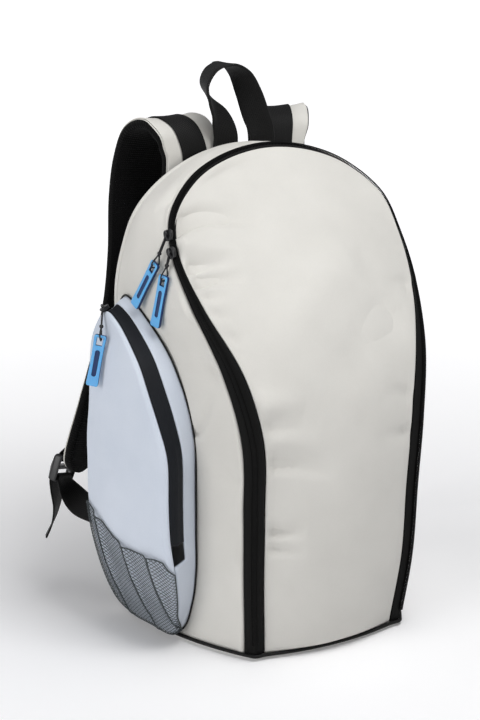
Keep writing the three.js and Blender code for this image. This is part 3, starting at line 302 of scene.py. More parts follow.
def grid_faces(rows, columns, closed=False, wrapped=False):
    """The quads of a grid whose rows may close on themselves, and whose columns may wrap round."""
    r = np.arange(rows if closed else rows - 1)[:, None]
    c = np.arange(columns if wrapped else columns - 1)[None, :]
    onward = (r + 1) % rows
    beside = (c + 1) % columns
    corners = [r * columns + c, r * columns + beside, onward * columns + beside, onward * columns + c]
    return np.stack(np.broadcast_arrays(*corners), -1).reshape(-1, 4)


def make_piece(name, points, faces, uvs=None, material=None, slot=None, replaces=(), smooth=True):
    """A mesh piece from points in millimetres, with a texture place in metres at each of them."""
    mesh = bpy.data.meshes.new(name)
    mesh.from_pydata((np.asarray(points) * MM).tolist(), [], [list(map(int, f)) for f in faces])
    if uvs is not None:
        layer = mesh.uv_layers.new(name="cloth")
        corner_points = np.zeros(len(mesh.loops), int)
        mesh.loops.foreach_get("vertex_index", corner_points)
        layer.data.foreach_set("uv", (np.asarray(uvs) * MM)[corner_points].ravel())
    mesh.polygons.foreach_set("use_smooth", [smooth] * len(mesh.polygons))
    mesh.update()
    return finish_piece(bpy.data.objects.new(name, mesh), material, slot, replaces)


def finish_piece(piece, material, slot, replaces):
    if piece.name not in bpy.context.scene.collection.objects:
        bpy.context.scene.collection.objects.link(piece)
    if material:
        piece.data.materials.clear()
        piece.data.materials.append(material)
    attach(piece, "root")
    if replaces:
        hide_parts(*replaces)
    return piece


def turned_out(points, faces):
    """The faces, all turned over if they enclose a negative volume."""
    triangles = np.concatenate([faces[:, [0, 1, 2]], faces[:, [0, 2, 3]]])
    a, b, c = (points[triangles[:, k]] for k in range(3))
    return faces[:, ::-1] if np.sum(a * np.cross(b, c)) < 0 else faces


def thick_grid(outer, inner, uvs, closed=False):
    """A closed wall between two grids of points, as points, faces and texture places."""
    rows, columns = outer.shape[:2]
    front = grid_faces(rows, columns, closed)
    back = front[:, ::-1] + rows * columns
    rims = []
    for column in (0, columns - 1):
        line = np.arange(rows) * columns + column
        ends = (line, np.roll(line, -1)) if closed else (line[:-1], line[1:])
        rim = np.stack([ends[0], ends[1], ends[1] + rows * columns, ends[0] + rows * columns], -1)
        rims.append(rim if column == 0 else rim[:, ::-1])
    if not closed:
        for row in (0, rows - 1):
            line = row * columns + np.arange(columns)
            rim = np.stack([line[:-1], line[1:], line[1:] + rows * columns, line[:-1] + rows * columns], -1)
            rims.append(rim[:, ::-1] if row == 0 else rim)
    points = np.concatenate([outer.reshape(-1, 3), inner.reshape(-1, 3)])
    faces = turned_out(points, np.concatenate([front, back, *rims]))
    return points, faces, np.concatenate([uvs.reshape(-1, 2)] * 2)


def grid_uvs(points):
    """Texture places in millimetres: along the rows and across the columns of a grid."""
    middle = points[:, points.shape[1] // 2]
    along = np.broadcast_to(run_lengths(middle)[:, None], points.shape[:2])
    steps = np.linalg.norm(np.diff(points, axis=1), axis=-1)
    across = np.concatenate([np.zeros((len(points), 1)), np.cumsum(steps, axis=1)], axis=1)
    across = across - across[:, -1:] / 2
    return np.stack([across, along], -1)


def capped_tube(rings):
    """Closed points and faces through rings of points, with a flat cap at both ends."""
    rows, columns = rings.shape[:2]
    faces = grid_faces(rows, columns, wrapped=True).tolist()
    points = rings.reshape(-1, 3)
    first = np.arange(columns)
    last = first + (rows - 1) * columns
    sides = turned_out(points, np.array(faces))
    flipped = sides[0, 0] != faces[0][0]
    caps = [last.tolist(), first[::-1].tolist()]
    if flipped:
        caps = [c[::-1] for c in caps]
    return points, [*sides.tolist(), *[c[::-1] for c in caps]]


def closed_tube(rings):
    rows, columns = rings.shape[:2]
    points = rings.reshape(-1, 3)
    return points, turned_out(points, grid_faces(rows, columns, closed=True, wrapped=True))


def tube_rings(path, radius, sides, closed=False):
    """Rings round a path, which keep their turn from one to the next."""
    path = np.asarray(path, float)
    if closed:
        along = unit(np.roll(path, -1, axis=0) - np.roll(path, 1, axis=0))
    else:
        along = unit(np.gradient(path, axis=0))
    start = np.array([0, 0, 1.0]) if abs(along[0][2]) < 0.9 else np.array([1.0, 0, 0])
    sideways = []
    side = start
    for direction in along:
        side = unit(side - direction * np.dot(side, direction))
        sideways.append(side)
    sideways = np.array(sideways)
    up = np.cross(along, sideways)
    angles = np.arange(sides) * 2 * math.pi / sides
    radii = np.broadcast_to(radius, (len(path),))[:, None, None]
    circle = np.cos(angles)[None, :, None] * sideways[:, None] + np.sin(angles)[None, :, None] * up[:, None]
    return path[:, None] + radii * circle


def merged(parts):
    """Several lists of points and faces as one."""
    points = []
    faces = []
    count = 0
    for part_points, part_faces in parts:
        points.append(np.asarray(part_points))
        faces.extend([[int(i) + count for i in face] for face in part_faces])
        count += len(part_points)
    return np.concatenate(points), faces


def across_mirror(points, faces):
    """The same solid on the other side of the bag."""
    return np.asarray(points) * [-1, 1, 1], [list(face)[::-1] for face in faces]


# The side of the body, as part of one arch from the left foot over the crown to the right foot

def over_the_top(values, side=1):
    return np.concatenate([values, side * values[-2::-1]])


def arch_line(half, reach, rise):
    """The line of one place of the sections, up the left side, over the crown and down the right."""
    x = over_the_top(-half * BODY_WIDTH / 2, -1)
    y = over_the_top(BACK_SEAM_Y - reach * BODY_DEPTH)
    z = over_the_top(BASE_TOP + rise * (BODY_HEIGHT - BASE_TOP))
    return smooth_line(np.stack([x, y, z], -1))


BACK_HALVES, BACK_RISES, ZIP_HALVES, ZIP_REACHES, ZIP_RISES = np.array(SIDE_SECTIONS, float).T
BULGES, TAPES, TURNS = np.array(SIDE_FORM, float).T
back_line = arch_line(BACK_HALVES, 0 * BULGES, BACK_RISES)
zip_line = arch_line(ZIP_HALVES, ZIP_REACHES, ZIP_RISES)
bulge_line = smooth_line(over_the_top(BULGES * BODY_DEPTH))
tape_line = smooth_line(over_the_top(TAPES * ZIP_TAPE_WIDTH / 2))
turn_line = smooth_line(over_the_top(np.radians(TURNS)))


def tape_half(up):
    return tape_line(np.asarray(up) / 2)


def side_point(up, forward):
    """up runs from 0 at the left foot to 1 at the crown and 2 at the right foot, and forward from
    0 at the back seam to 1 at the zip."""
    up, forward = np.broadcast_arrays(np.asarray(up, float), np.asarray(forward, float))
    along = back_line(up / 2 + TINY) - back_line(up / 2 - TINY)
    out = unit(np.cross([0, -1, 0], along))
    bulge = bulge_line(up / 2) * 4 * forward * (1 - forward)
    return mix(back_line(up / 2), zip_line(up / 2), forward) + out * bulge[..., None]


def side_normal(up, forward):
    along_up = side_point(up + TINY, forward) - side_point(up - TINY, forward)
    along_forward = side_point(up, forward + TINY) - side_point(up, forward - TINY)
    return unit(np.cross(along_forward, along_up))


def above_base(points):
    points[..., 2] = np.maximum(points[..., 2], BASE_TOP)
    return points


def side_at(up, forward, lift):
    up, forward, lift = np.broadcast_arrays(*(np.asarray(v, float) for v in (up, forward, lift)))
    return above_base(side_point(up, forward) + side_normal(up, forward) * lift[..., None])


def short_of_zip(up, distance):
    reach = np.linalg.norm(back_line(np.asarray(up) / 2) - zip_line(np.asarray(up) / 2), axis=-1)
    return 1 - distance / reach


def tape_point(up, across, lift):
    """A place on the zip's tape: across runs from -1 at the side panel to 1 at the door."""
    up, across, lift = np.broadcast_arrays(*(np.asarray(v, float) for v in (up, across, lift)))
    reach = np.abs(across) * tape_half(up)
    behind = side_at(up, short_of_zip(up, reach), lift)
    turn = turn_line(up / 2)[..., None]
    normal = side_normal(up, 1)
    onward = unit(side_point(up, 1) - side_point(up, 1 - TINY))
    folded = onward * np.cos(turn) - normal * np.sin(turn)
    share = np.where(across > 0, 1, 0.5)[..., None]
    lifted = normal * np.cos(turn * share) + onward * np.sin(turn * share)
    mitre = np.cos(turn * (1 - share))
    ahead = side_point(up, 1) + folded * reach[..., None] + lifted * lift[..., None] / mitre
    return above_base(np.where((across < 0)[..., None], behind, ahead))


def door_line(share):
    return tape_point(np.asarray(share, float) * 2, 1.0, 0.0)


# The front door

def door_foot(across):
    across = np.asarray(across, float)
    foot = mix(door_line(0.0), door_line(1.0), across)
    foot[..., 1] -= DOOR_FOOT_BOW * 4 * across * (1 - across)
    return foot


def door_point(across, up):
    """A four-sided patch inside the zip, bowed forward. across and up run from 0 to 1."""
    across, up = np.broadcast_arrays(np.asarray(across, float), np.asarray(up, float))
    edge = DOOR_CORNER / 2
    point = mix(door_line(up * edge), door_line(1 - up * edge), across)
    foot = door_foot(across) - mix(door_line(0.0), door_line(1.0), across)
    head = door_line(edge + across * (1 - DOOR_CORNER)) - mix(door_line(edge), door_line(1 - edge), across)
    point = point + foot * (1 - up)[..., None] + head * up[..., None]
    bow = DOOR_BOW * 4 * across * (1 - across) * np.sin(math.pi * np.sqrt(up))
    return point + np.stack([0 * bow, -bow, bow * up * up], -1)


def door_normal(across, up):
    a = np.clip(across, TINY, 1 - TINY)
    b = np.clip(up, TINY, 1 - TINY)
    along_across = door_point(a + TINY, b) - door_point(a - TINY, b)
    along_up = door_point(a, b + TINY) - door_point(a, b - TINY)
    return unit(np.cross(along_across, along_up))


# Materials

def colour(red, green, blue):
    """A linear colour from the 0 to 255 values of a picture."""
    levels = [(v / 255) ** 2.2 for v in (red, green, blue)]
    return (*levels, 1)


WAVES_PER_UNIT = 20


class Shader:
    """A material's nodes, and short ways to join them."""

    def __init__(self, name, base, roughness, **settings):
        self.material = bpy.data.materials.new(name)
        self.material.use_nodes = True
        self.nodes = self.material.node_tree.nodes
        self.links = self.material.node_tree.links
        self.surface = self.nodes["Principled BSDF"]
        self.surface.inputs["Base Color"].default_value = base
        self.surface.inputs["Roughness"].default_value = roughness
        for key, value in settings.items():
            self.surface.inputs[key.replace("_", " ")].default_value = value

    def node(self, kind, **inputs):
        made = self.nodes.new("ShaderNode" + kind)
        for key, value in inputs.items():
            self.feed(made, key.replace("_", " "), value)
        return made

    def feed(self, node, key, value):
        socket = node.inputs[int(key[1:])] if key[0] == "#" else node.inputs[key]
        if isinstance(value, bpy.types.NodeSocket):
            self.links.new(value, socket)
        else:
            socket.default_value = value

    def place(self, source):
        if source == "Object":
            return self.node("TexCoord").outputs["Object"]
        node = self.node("UVMap")
        node.uv_map = source
        return node.outputs[0]

    def maths(self, operation, first, second=0.5):
        made = self.nodes.new("ShaderNodeMath")
        made.operation = operation
        self.feed(made, "#0", first)
        self.feed(made, "#1", second)
        return made.outputs[0]

    def stripes(self, place, direction, pitch):
        """Waves of a pitch in metres along X, Y, Z or the diagonal of a place."""
        made = self.node("TexWave", Vector=place, Scale=math.tau / WAVES_PER_UNIT / pitch)
        made.bands_direction = direction
        return made.outputs["Fac"]

    def noise(self, place, size, detail=2, roughness=0.5):
        made = self.node("TexNoise", Vector=place, Scale=1 / size, Detail=detail, Roughness=roughness)
        return made.outputs["Fac"]

    def ramp(self, value, stops):
        made = self.node("ValToRGB", Fac=value)
        while len(made.color_ramp.elements) < len(stops):
            made.color_ramp.elements.new(0.5)
        for element, (position, shade) in zip(made.color_ramp.elements, stops):
            element.position = position
            element.color = shade
        return made.outputs["Color"]

    def colour_by(self, value, low, high, span=(0.3, 0.7)):
        self.feed(self.surface, "Base Color", self.ramp(value, [(span[0], low), (span[1], high)]))

    def roughness_by(self, value, low, high):
        made = self.node("MapRange", Value=value, To_Min=low, To_Max=high)
        self.feed(self.surface, "Roughness", made.outputs[0])

    def bump(self, height, distance, strength=1.0, under=None):
        made = self.node("Bump", Height=height, Distance=distance, Strength=strength)
        if under:
            self.feed(made, "Normal", under)
        self.feed(self.surface, "Normal", made.outputs[0])
        return made.outputs[0]


def weave(shader, place, pitch):
    """A plain weave's height: two sets of threads, each over the other by turns."""
    warp = shader.stripes(place, "X", pitch)
    weft = shader.stripes(place, "Y", pitch)
    return shader.maths("ABSOLUTE", shader.maths("SUBTRACT", warp, weft))


def cloth_material(name, low, high, pitch=0.0011, depth=0.00012, sheen=0.12):
    """Plain woven polyester with soft blotches and small puckers."""
    shader = Shader(name, high, 0.78, Sheen_Weight=sheen, Sheen_Roughness=0.5, Specular_IOR_Level=0.35)
    place = shader.place("cloth")
    body = shader.place("Object")
    blotches = shader.noise(body, 0.045, detail=4)
    threads = shader.noise(place, 0.0016, detail=2)
    broad = shader.maths("MULTIPLY", blotches, 0.7)
    shader.colour_by(shader.maths("ADD", broad, shader.maths("MULTIPLY", threads, 0.3)), low, high)
    shader.roughness_by(threads, 0.68, 0.88)
    puckers = shader.bump(shader.noise(body, 0.012, detail=3), 0.0011, 0.35)
    shader.bump(weave(shader, place, pitch), depth, 0.8, puckers)
    return shader.material


def ribbed_material(name, low, high, pitch=0.0017, depth=0.0003, roughness=(0.55, 0.75)):
    """Webbing: ribs along its length, crossed by the weft."""
    shader = Shader(name, high, 0.7, Sheen_Weight=0.05, Sheen_Roughness=0.4, Specular_IOR_Level=0.25)
    place = shader.place("cloth")
    ribs = shader.stripes(place, "X", pitch)
    weft = shader.stripes(place, "Y", pitch * 0.7)
    twill = shader.stripes(place, "DIAGONAL", pitch * 0.8)
    crossing = shader.maths("MULTIPLY", shader.maths("MULTIPLY", weft, twill), 0.6)
    height = shader.maths("ADD", shader.maths("MULTIPLY", ribs, 0.55), crossing)
    shader.colour_by(height, low, high, (0.1, 0.9))
    shader.roughness_by(height, *roughness)
    shader.bump(height, depth)
    return shader.material


def mesh_cloth_material(name, low, high):
    """Thick knitted spacer mesh: small rounded holes in offset rows."""
    shader = Shader(name, high, 0.9, Sheen_Weight=0.04, Sheen_Roughness=0.5, Specular_IOR_Level=0.15)
    place = shader.place("cloth")
    cells = shader.node("TexVoronoi", Vector=place, Scale=1 / 0.0021, Randomness=0.15)
    holes = cells.outputs["Distance"]
    shader.colour_by(holes, low, high, (0.12, 0.42))
    shader.bump(shader.ramp(holes, [(0.15, (0, 0, 0, 1)), (0.4, (1, 1, 1, 1))]), 0.0006)
    return shader.material


def plastic_material(name, base, roughness, **settings):
    """Moulded plastic with a fine grain."""
    shader = Shader(name, base, roughness, **settings)
    place = shader.place("Object")
    shader.roughness_by(shader.noise(place, 0.006, detail=4), roughness - 0.06, roughness + 0.1)
    shader.bump(shader.noise(place, 0.0009, detail=3), 0.00005, 0.5)
    return shader.material


BEIGE = cloth_material("beige_cloth", colour(206, 204, 198), colour(213, 211, 205))
BLUE = cloth_material("blue_cloth", colour(198, 206, 218), colour(206, 213, 224))
NET_CLOTH = plastic_material("net_strand", colour(62, 68, 70), 0.7)
WEBBING = ribbed_material("black_webbing", colour(3, 3, 3), colour(14, 14, 14))
AIR_MESH = mesh_cloth_material("black_mesh", colour(2, 2, 2), colour(8, 8, 8))
ZIP_TAPE = ribbed_material("zip_tape", colour(4, 4, 3), colour(11, 11, 8), 0.0008, 0.0001, (0.8, 0.92))
NAVY_TAPE = ribbed_material("pocket_zip_tape", colour(9, 13, 19), colour(19, 24, 32), 0.0008, 0.0001)
COIL = plastic_material("zip_coil", colour(5, 5, 4), 0.75, Specular_IOR_Level=0.2)
PIPING = ribbed_material("piping", colour(14, 14, 14), colour(30, 30, 30), 0.001, 0.0001)
PULL_BLUE = plastic_material("pull_blue", colour(88, 166, 222), 0.4, Subsurface_Weight=0.1)
# Navy for the pull's inlay, which is its own colour, and for painted shade on the pull's edges.
PULL_NAVY_AND_EDGE_SHADE = plastic_material("pull_navy_and_edge_shade", colour(14, 46, 92), 0.45)
BLACK_PLASTIC = plastic_material("black_plastic", colour(26, 26, 28), 0.32)
BLACK_THREAD = plastic_material("black_thread", colour(30, 30, 32), 0.6)


# The side and the door of the body

class Fold:
    """A crease or a puff between two places of a surface, in shares of its two directions."""

    def __init__(self, start, end, height, above, below):
        self.start = np.array(start, float)
        self.end = np.array(end, float)
        self.height = height
        self.above = above
        self.below = below

    def lift(self, places, scale):
        """Its height in millimetres. scale turns the shares into millimetres."""
        start = self.start * scale
        run = self.end * scale - start
        length = np.linalg.norm(run)
        direction = run / length
        offset = places * scale - start
        along = offset @ direction / length
        aside = offset @ np.array([-direction[1], direction[0]])
        aside = aside * np.sign(direction[0] + TINY)
        width = np.where(aside > 0, self.above, self.below)
        beyond = np.maximum(-along, 0) * length / width
        fade = np.clip(1 - along, 0, 1) ** 0.8 * (along < 1)
        return self.height * fade * np.exp(-((aside / width) ** 2) - beyond**2)


def ripple(places, scale, waves):
    """Broad unevenness: a few long waves at chosen angles."""
    lift = 0
    for length, angle, shift, height in waves:
        direction = np.array([math.cos(math.radians(angle)), math.sin(math.radians(angle))])
        lift = lift + height * np.sin(math.tau * (places * scale @ direction) / length + shift)
    return lift


def rim_drop(distance, radius):
    """How far a rounded rim falls away at a distance from its edge."""
    inside = np.clip(distance / radius, 0, 1)
    return radius * (1 - np.sqrt(1 - (1 - inside) ** 2))


def clustered(count, pull=0.75):
    """Shares of 0 to 1 that crowd towards both ends."""
    even = np.linspace(0, 1, count)
    eased = (1 - np.cos(math.pi * even)) / 2
    return even * (1 - pull) + eased * pull


FOLD_STRENGTH = 5
SIDE_SCALE = np.array([BODY_HEIGHT * 1.25, BODY_DEPTH * 0.8])
SIDE_FOLDS = [
    Fold((0.30, 0.69), (0.37, 0.84), -0.7, 1.6, 3.5),
    Fold((0.50, 0.97), (0.46, 0.62), 1.0, 9, 14),
    Fold((0.62, 0.98), (0.55, 0.70), -1.1, 5, 9),
    Fold((0.40, 0.97), (0.42, 0.78), -0.8, 4, 8),
    Fold((0.24, 0.97), (0.27, 0.80), -0.7, 4, 9),
    Fold((0.14, 0.97), (0.15, 0.78), 0.8, 6, 9),
    Fold((0.76, 0.95), (0.70, 0.60), -0.9, 8, 12),
]
SIDE_WAVES = [(150, 20, 0.4, 0.7), (95, -35, 1.9, 0.45), (61, 75, 0.9, 0.25)]
SCALLOP = 55
SCALLOP_HEIGHT = 0.5
RIM_RADIUS = 1.6


def side_relief(up, forward, to_zip):
    up, forward = np.broadcast_arrays(up, forward)
    mirrored_up = np.where(up > 1, 2 - up, up)
    places = np.stack([mirrored_up, forward], -1)
    lift = FOLD_STRENGTH * sum(fold.lift(places, SIDE_SCALE) for fold in SIDE_FOLDS)
    lift = lift + ripple(np.stack([up, forward], -1), SIDE_SCALE, SIDE_WAVES)
    lift = lift * np.clip(up * 14, 0, 1) * np.clip((2 - up) * 14, 0, 1) * np.clip(forward * 8, 0, 1)
    scallop = SCALLOP_HEIGHT * (1 + np.cos(math.tau * up * BODY_HEIGHT * 1.25 / SCALLOP))
    return lift * np.clip(to_zip / 6, 0.3, 1) + scallop * np.exp(-((to_zip - 3) / 3) ** 2)


def make_side():
    ups = np.linspace(0, 2, 361)[:, None]
    shares = clustered(46)[None, :]
    limit = short_of_zip(ups, tape_half(ups) + CLEARANCE)
    forward = shares * limit
    reach = np.linalg.norm(back_line(ups / 2) - zip_line(ups / 2), axis=-1)
    to_zip = (limit - forward) * reach
    lift = side_relief(ups, forward, to_zip)
    lift = lift - rim_drop(to_zip, RIM_RADIUS) - rim_drop(forward * reach, RIM_RADIUS)
    outer = side_at(ups, forward, lift)
    inner = side_at(ups, forward, -WALL)
    points, faces, uvs = thick_grid(outer, inner, grid_uvs(outer))
    piece = make_piece("bag_side", points, faces, uvs, BEIGE, "beige_cloth", ["side_panel"])


DOOR_SCALE = np.array([200, 500])
DOOR_FOLDS = [
    Fold((0.00, 0.935), (0.36, 0.795), -3.0, 13, 5),
    Fold((0.00, 0.890), (0.28, 0.740), 1.3, 8, 8),
    Fold((0.02, 0.808), (0.22, 0.735), -1.8, 8, 3.5),
    Fold((0.02, 0.768), (0.22, 0.700), -2.2, 8, 3),
    Fold((0.01, 0.740), (0.13, 0.690), -1.1, 5, 2.6),
    Fold((0.00, 0.700), (0.11, 0.655), -1.0, 5, 2.6),
    Fold((0.00, 0.650), (0.10, 0.610), -0.7, 5, 3),
    Fold((0.01, 0.500), (0.26, 0.455), 1.2, 12, 12),
    Fold((0.01, 0.455), (0.32, 0.400), -1.0, 14, 6),
    Fold((0.01, 0.378), (0.42, 0.315), -1.5, 15, 4),
    Fold((0.01, 0.245), (0.24, 0.225), -1.6, 7, 3),
    Fold((0.01, 0.215), (0.24, 0.190), -1.0, 6, 3),
    Fold((0.99, 0.395), (0.68, 0.365), -0.9, 6, 8),
    Fold((0.99, 0.470), (0.72, 0.450), -0.6, 6, 8),
    Fold((0.99, 0.700), (0.80, 0.660), -0.8, 6, 10),
    Fold((0.62, 0.690), (0.12, 0.520), 1.2, 24, 20),
    Fold((0.80, 0.600), (0.30, 0.430), -1.4, 22, 26),
    Fold((0.30, 0.960), (0.60, 0.880), -0.7, 16, 20),
]
DOOR_WAVES = [(170, 65, 0.2, 0.8), (110, 110, 2.1, 0.5), (70, 20, 1.3, 0.22), (47, 80, 0.5, 0.12)]


def door_relief(across, up, to_edge):
    places = np.stack(np.broadcast_arrays(across, up), -1)
    lift = FOLD_STRENGTH * sum(fold.lift(places, DOOR_SCALE) for fold in DOOR_FOLDS)
    lift = lift + ripple(places, DOOR_SCALE, DOOR_WAVES)
    return lift * np.clip(to_edge / 9, 0.12, 1)


def make_door():
    across = clustered(104, 0.5)[None, :]
    up = clustered(160, 0.5)[:, None]
    surface = door_point(across, up)
    left = np.linalg.norm(surface - surface[:, :1], axis=-1)
    right = np.linalg.norm(surface - surface[:, -1:], axis=-1)
    head = np.linalg.norm(surface - surface[-1:], axis=-1)
    foot = np.linalg.norm(surface - surface[:1], axis=-1)
    to_zip = np.minimum(np.minimum(left, right), head)
    to_edge = np.minimum(to_zip, foot)
    lift = door_relief(across, up, to_edge) - rim_drop(to_zip, RIM_RADIUS)
    outer = above_base(surface + door_normal(across, up) * lift[..., None])
    inset = DOOR_EDGE_INSET / (BODY_WIDTH * ZIP_HALVES[0])
    a = inset + across * (1 - 2 * inset)
    b = up * (1 - inset)
    inner = above_base(door_point(a, b) - door_normal(a, b) * WALL)
    points, faces, uvs = thick_grid(outer, inner, grid_uvs(outer))
    piece = make_piece("bag_door", points, faces, uvs, BEIGE, "beige_cloth", ["front_door"])


# The main zip

ZIP_LENGTHS_UP = np.linspace(0, 2, 2001)
ZIP_LENGTHS = run_lengths(tape_point(ZIP_LENGTHS_UP, 0.0, 0.0))


def zip_up(length):
    """The place on the arch that lies a length along the zip."""
    return np.interp(length, ZIP_LENGTHS, ZIP_LENGTHS_UP)


# Half of the tape's profile: the share of the way out from its middle and the height there.
TAPE_PROFILE = [(0.1, 0), (0.3, 0), (0.45, 0.25), (0.6, 0), (0.8, 0), (0.93, 0.1), (0.98, 0), (1, -0.5)]


def make_zip_tape():
    ups = np.linspace(0, 2, 521)[:, None]
    half = np.array(TAPE_PROFILE, float)
    ribs, raised = np.concatenate([half[::-1] * [-1, 1], [[0, 0]], half]).T
    limit = 1 - CLEARANCE / tape_half(ups)
    across = ribs[None, :] * np.where(ribs > 0, limit, 1)
    outer = tape_point(ups, across, raised[None, :])
    inner = tape_point(ups, across, -ZIP_TAPE_THICKNESS)
    points, faces, uvs = thick_grid(outer, inner, grid_uvs(outer))
    make_piece("zip_tape", points, faces, uvs, ZIP_TAPE, "black_zip", ["main_zip_tape"])


COIL_PITCH = 1.5
COIL_WIRE = 0.42
COIL_SHAPE = [(1.0, 0.5), (0.92, 1.5), (0.45, 1.95), (-0.1, 1.9), (-0.3, 1.35)]


def coil_teeth(lengths, hand, place, half_width):
    """The bent wires of one side of a coil, as points and faces. place gives a point from a length
    along the zip, a distance across it and a height."""
    rings = []
    for across, height in COIL_SHAPE:
        corners = []
        for sideways, rise in ((-1, -0.3), (1, -0.3), (1, 0.45), (-1, 0.45)):
            where = lengths + sideways * COIL_WIRE
            corners.append(place(where, hand * across * half_width, CLEARANCE + height - 0.45 + rise))
        rings.append(np.stack(corners, 1))
    teeth = np.stack(rings, 1)
    quads = grid_faces(len(COIL_SHAPE), 4, wrapped=True)
    last = 4 * (len(COIL_SHAPE) - 1)
    caps = np.array([[3, 2, 1, 0], [last, last + 1, last + 2, last + 3]])
    one = np.concatenate([quads, caps])
    one = turned_out(teeth[0].reshape(-1, 3), one)
    faces = (one[None] + (np.arange(len(lengths)) * 4 * len(COIL_SHAPE))[:, None, None]).reshape(-1, 4)
    return teeth.reshape(-1, 3), faces


def make_coil():
    foot = np.interp(ZIP_COIL_FOOT_UP, ZIP_LENGTHS_UP, ZIP_LENGTHS)
    lengths = np.arange(foot + COIL_PITCH, ZIP_LENGTHS[-1] - foot - COIL_PITCH, COIL_PITCH)

    def place(length, across, lift):
        up = zip_up(length)
        return tape_point(up, across / tape_half(up), lift)

    sides = [
        coil_teeth(lengths + (0 if hand < 0 else COIL_PITCH / 2), hand, place, ZIP_COIL_WIDTH / 2)
        for hand in (-1, 1)
    ]
    points, faces = merged(sides)
    make_piece("zip_coil", points, faces, None, COIL, "black_zip", ["main_zip_coil"], smooth=False)


# The back and the base

ARCH = np.concatenate([
    np.linspace(0, DOOR_CORNER, 70, endpoint=False),
    np.linspace(DOOR_CORNER, 2 - DOOR_CORNER, 61),
    np.linspace(2 - DOOR_CORNER, 2, 71)[1:],
])


def outline_slab(outline, centre, depths):
    """A closed slab from rings of one outline, each moved in towards a centre by a distance and
    placed at a depth along the third axis."""
    rings = []
    for inward, depth in depths:
        arm = outline - centre
        length = np.linalg.norm(arm, axis=-1, keepdims=True)
        flat = centre + arm * np.maximum(1 - inward / length, 0)
        rings.append(np.concatenate([flat, np.full((len(flat), 1), depth)], -1))
    return np.stack(rings)


# The padding's rings: how far each lies in from the outline, and its depth from the seam's side or
# from the face.
PADDING_SEAM_RINGS = [(60, 0), (3, 0), (0.8, 0.5), (0, 1.6)]
PADDING_EDGE_RINGS = [(0, -2), (0.8, -0.6), (2.5, 0)]
PADDING_FACE_RINGS = [6, 8, 12, 20, 32, 48, 64]
PADDING_CROWN = 2.4
PADDING_CROWN_REACH = 14
PADDING_GROOVE = 1


def make_back():
    line = back_line(ARCH / 2)[:, [0, 2]]
    foot = np.linspace(line[-1], line[0], 40)[1:-1]
    outline = np.concatenate([line, foot])
    centre = np.array([0, 200.0])
    near = BACK_SEAM_Y + CLEARANCE
    depths = [(inward, near + depth) for inward, depth in PADDING_SEAM_RINGS]
    depths += [(inward, BACK_FACE_Y + depth) for inward, depth in PADDING_EDGE_RINGS]
    groove = PADDING_FACE_RINGS[0]
    for inward in PADDING_FACE_RINGS:
        crown = PADDING_CROWN * (1 - math.exp(-((inward - groove) / PADDING_CROWN_REACH) ** 2))
        depths.append((inward, BACK_FACE_Y + crown - PADDING_GROOVE * (inward == groove)))
    rings = outline_slab(outline, centre, depths)
    rings = rings[..., [0, 2, 1]]
    points, faces = capped_tube(rings)
    uvs = points[:, [0, 2]]
    piece = make_piece("back_padding", points, faces, uvs, AIR_MESH, "black_mesh", ["back_panel"])
    piece.data.materials.append(BEIGE)
    on_rim = [int(k < 5 * len(outline)) for k in range(len(piece.data.polygons))]
    piece.data.polygons.foreach_set("material_index", on_rim)


def foot_outline():
    """The base's outline from the left back corner round the front, anticlockwise from above."""
    shares = np.linspace(0, 1, 33)
    side = side_point(0.0, shares * short_of_zip(0.0, tape_half(0.0)))
    left = np.concatenate([side, side_point(0.0, 1.0)[None]])
    front = door_foot(shares)
    right = left[::-1] * [-1, 1, 1]
    back_left = np.array([[left[0][0], BACK_FACE_Y, 0]])
    back_right = back_left * [-1, 1, 1]
    line = np.concatenate([back_left, left, front, right, back_right])[:, :2]
    keep = [0] + [i for i in range(1, len(line)) if np.linalg.norm(line[i] - line[i - 1]) > 0.5]
    return line[keep]


def grown(outline, distance):
    before = unit(outline - np.roll(outline, 1, axis=0))
    after = unit(np.roll(outline, -1, axis=0) - outline)
    total = before + after
    normal = unit(np.stack([total[:, 1], -total[:, 0]], -1))
    mitre = np.maximum(0.5, dot(normal, np.stack([after[:, 1], -after[:, 0]], -1)))
    return outline + normal * distance / mitre


BASE_UNDER_RINGS = [(80, 0.6), (30, 0), (7, 0), (4, 0.5), (1.5, 1.8)]
BASE_TOP_RINGS = [(0, -0.8), (0.8, 0), (60, 0)]


def make_base():
    outline = foot_outline()
    centre = np.array([0, -10.0])
    depths = BASE_UNDER_RINGS + [(inward, BASE_THICKNESS + depth) for inward, depth in BASE_TOP_RINGS]
    rings = outline_slab(outline, centre, depths)
    points, faces = capped_tube(rings)
    make_piece("bag_base", points, faces, points[:, :2], BEIGE, "beige_cloth", ["base_panel"])


PIPING_ROUNDING = range(-2, 3)


def make_base_piping():
    outline = foot_outline()
    ring = grown(outline, BASE_PIPING_RADIUS + CLEARANCE)
    path = np.concatenate([ring, ring[:1]])
    path = respaced(np.concatenate([path, np.full((len(path), 1), BASE_TOP)], -1), 420)[:-1]
    path = sum(np.roll(path, step, axis=0) for step in PIPING_ROUNDING) / len(PIPING_ROUNDING)
    rings = tube_rings(path, BASE_PIPING_RADIUS, 10, closed=True)
    points, faces = closed_tube(rings)
    make_piece("base_piping_cord", points, faces, tube_uvs(rings), PIPING, "black_webbing", ["base_piping"])


def tube_uvs(rings):
    along = run_lengths(rings.mean(axis=1))
    sides = rings.shape[1]
    girth = np.linalg.norm(rings[0, 0] - rings[0].mean(axis=0)) * math.tau
    # Round the tube the texture runs out and back, so that it meets itself without a step.
    turn = np.abs((np.arange(sides) / sides * 2) % 2 - 1) * girth / 2
    u = np.broadcast_to(turn[None, :], rings.shape[:2])
    v = np.broadcast_to(along[:, None], rings.shape[:2])
    return np.stack([u, v], -1).reshape(-1, 2)


# The side pocket, on a plain of the side where x runs forward and y up, in millimetres

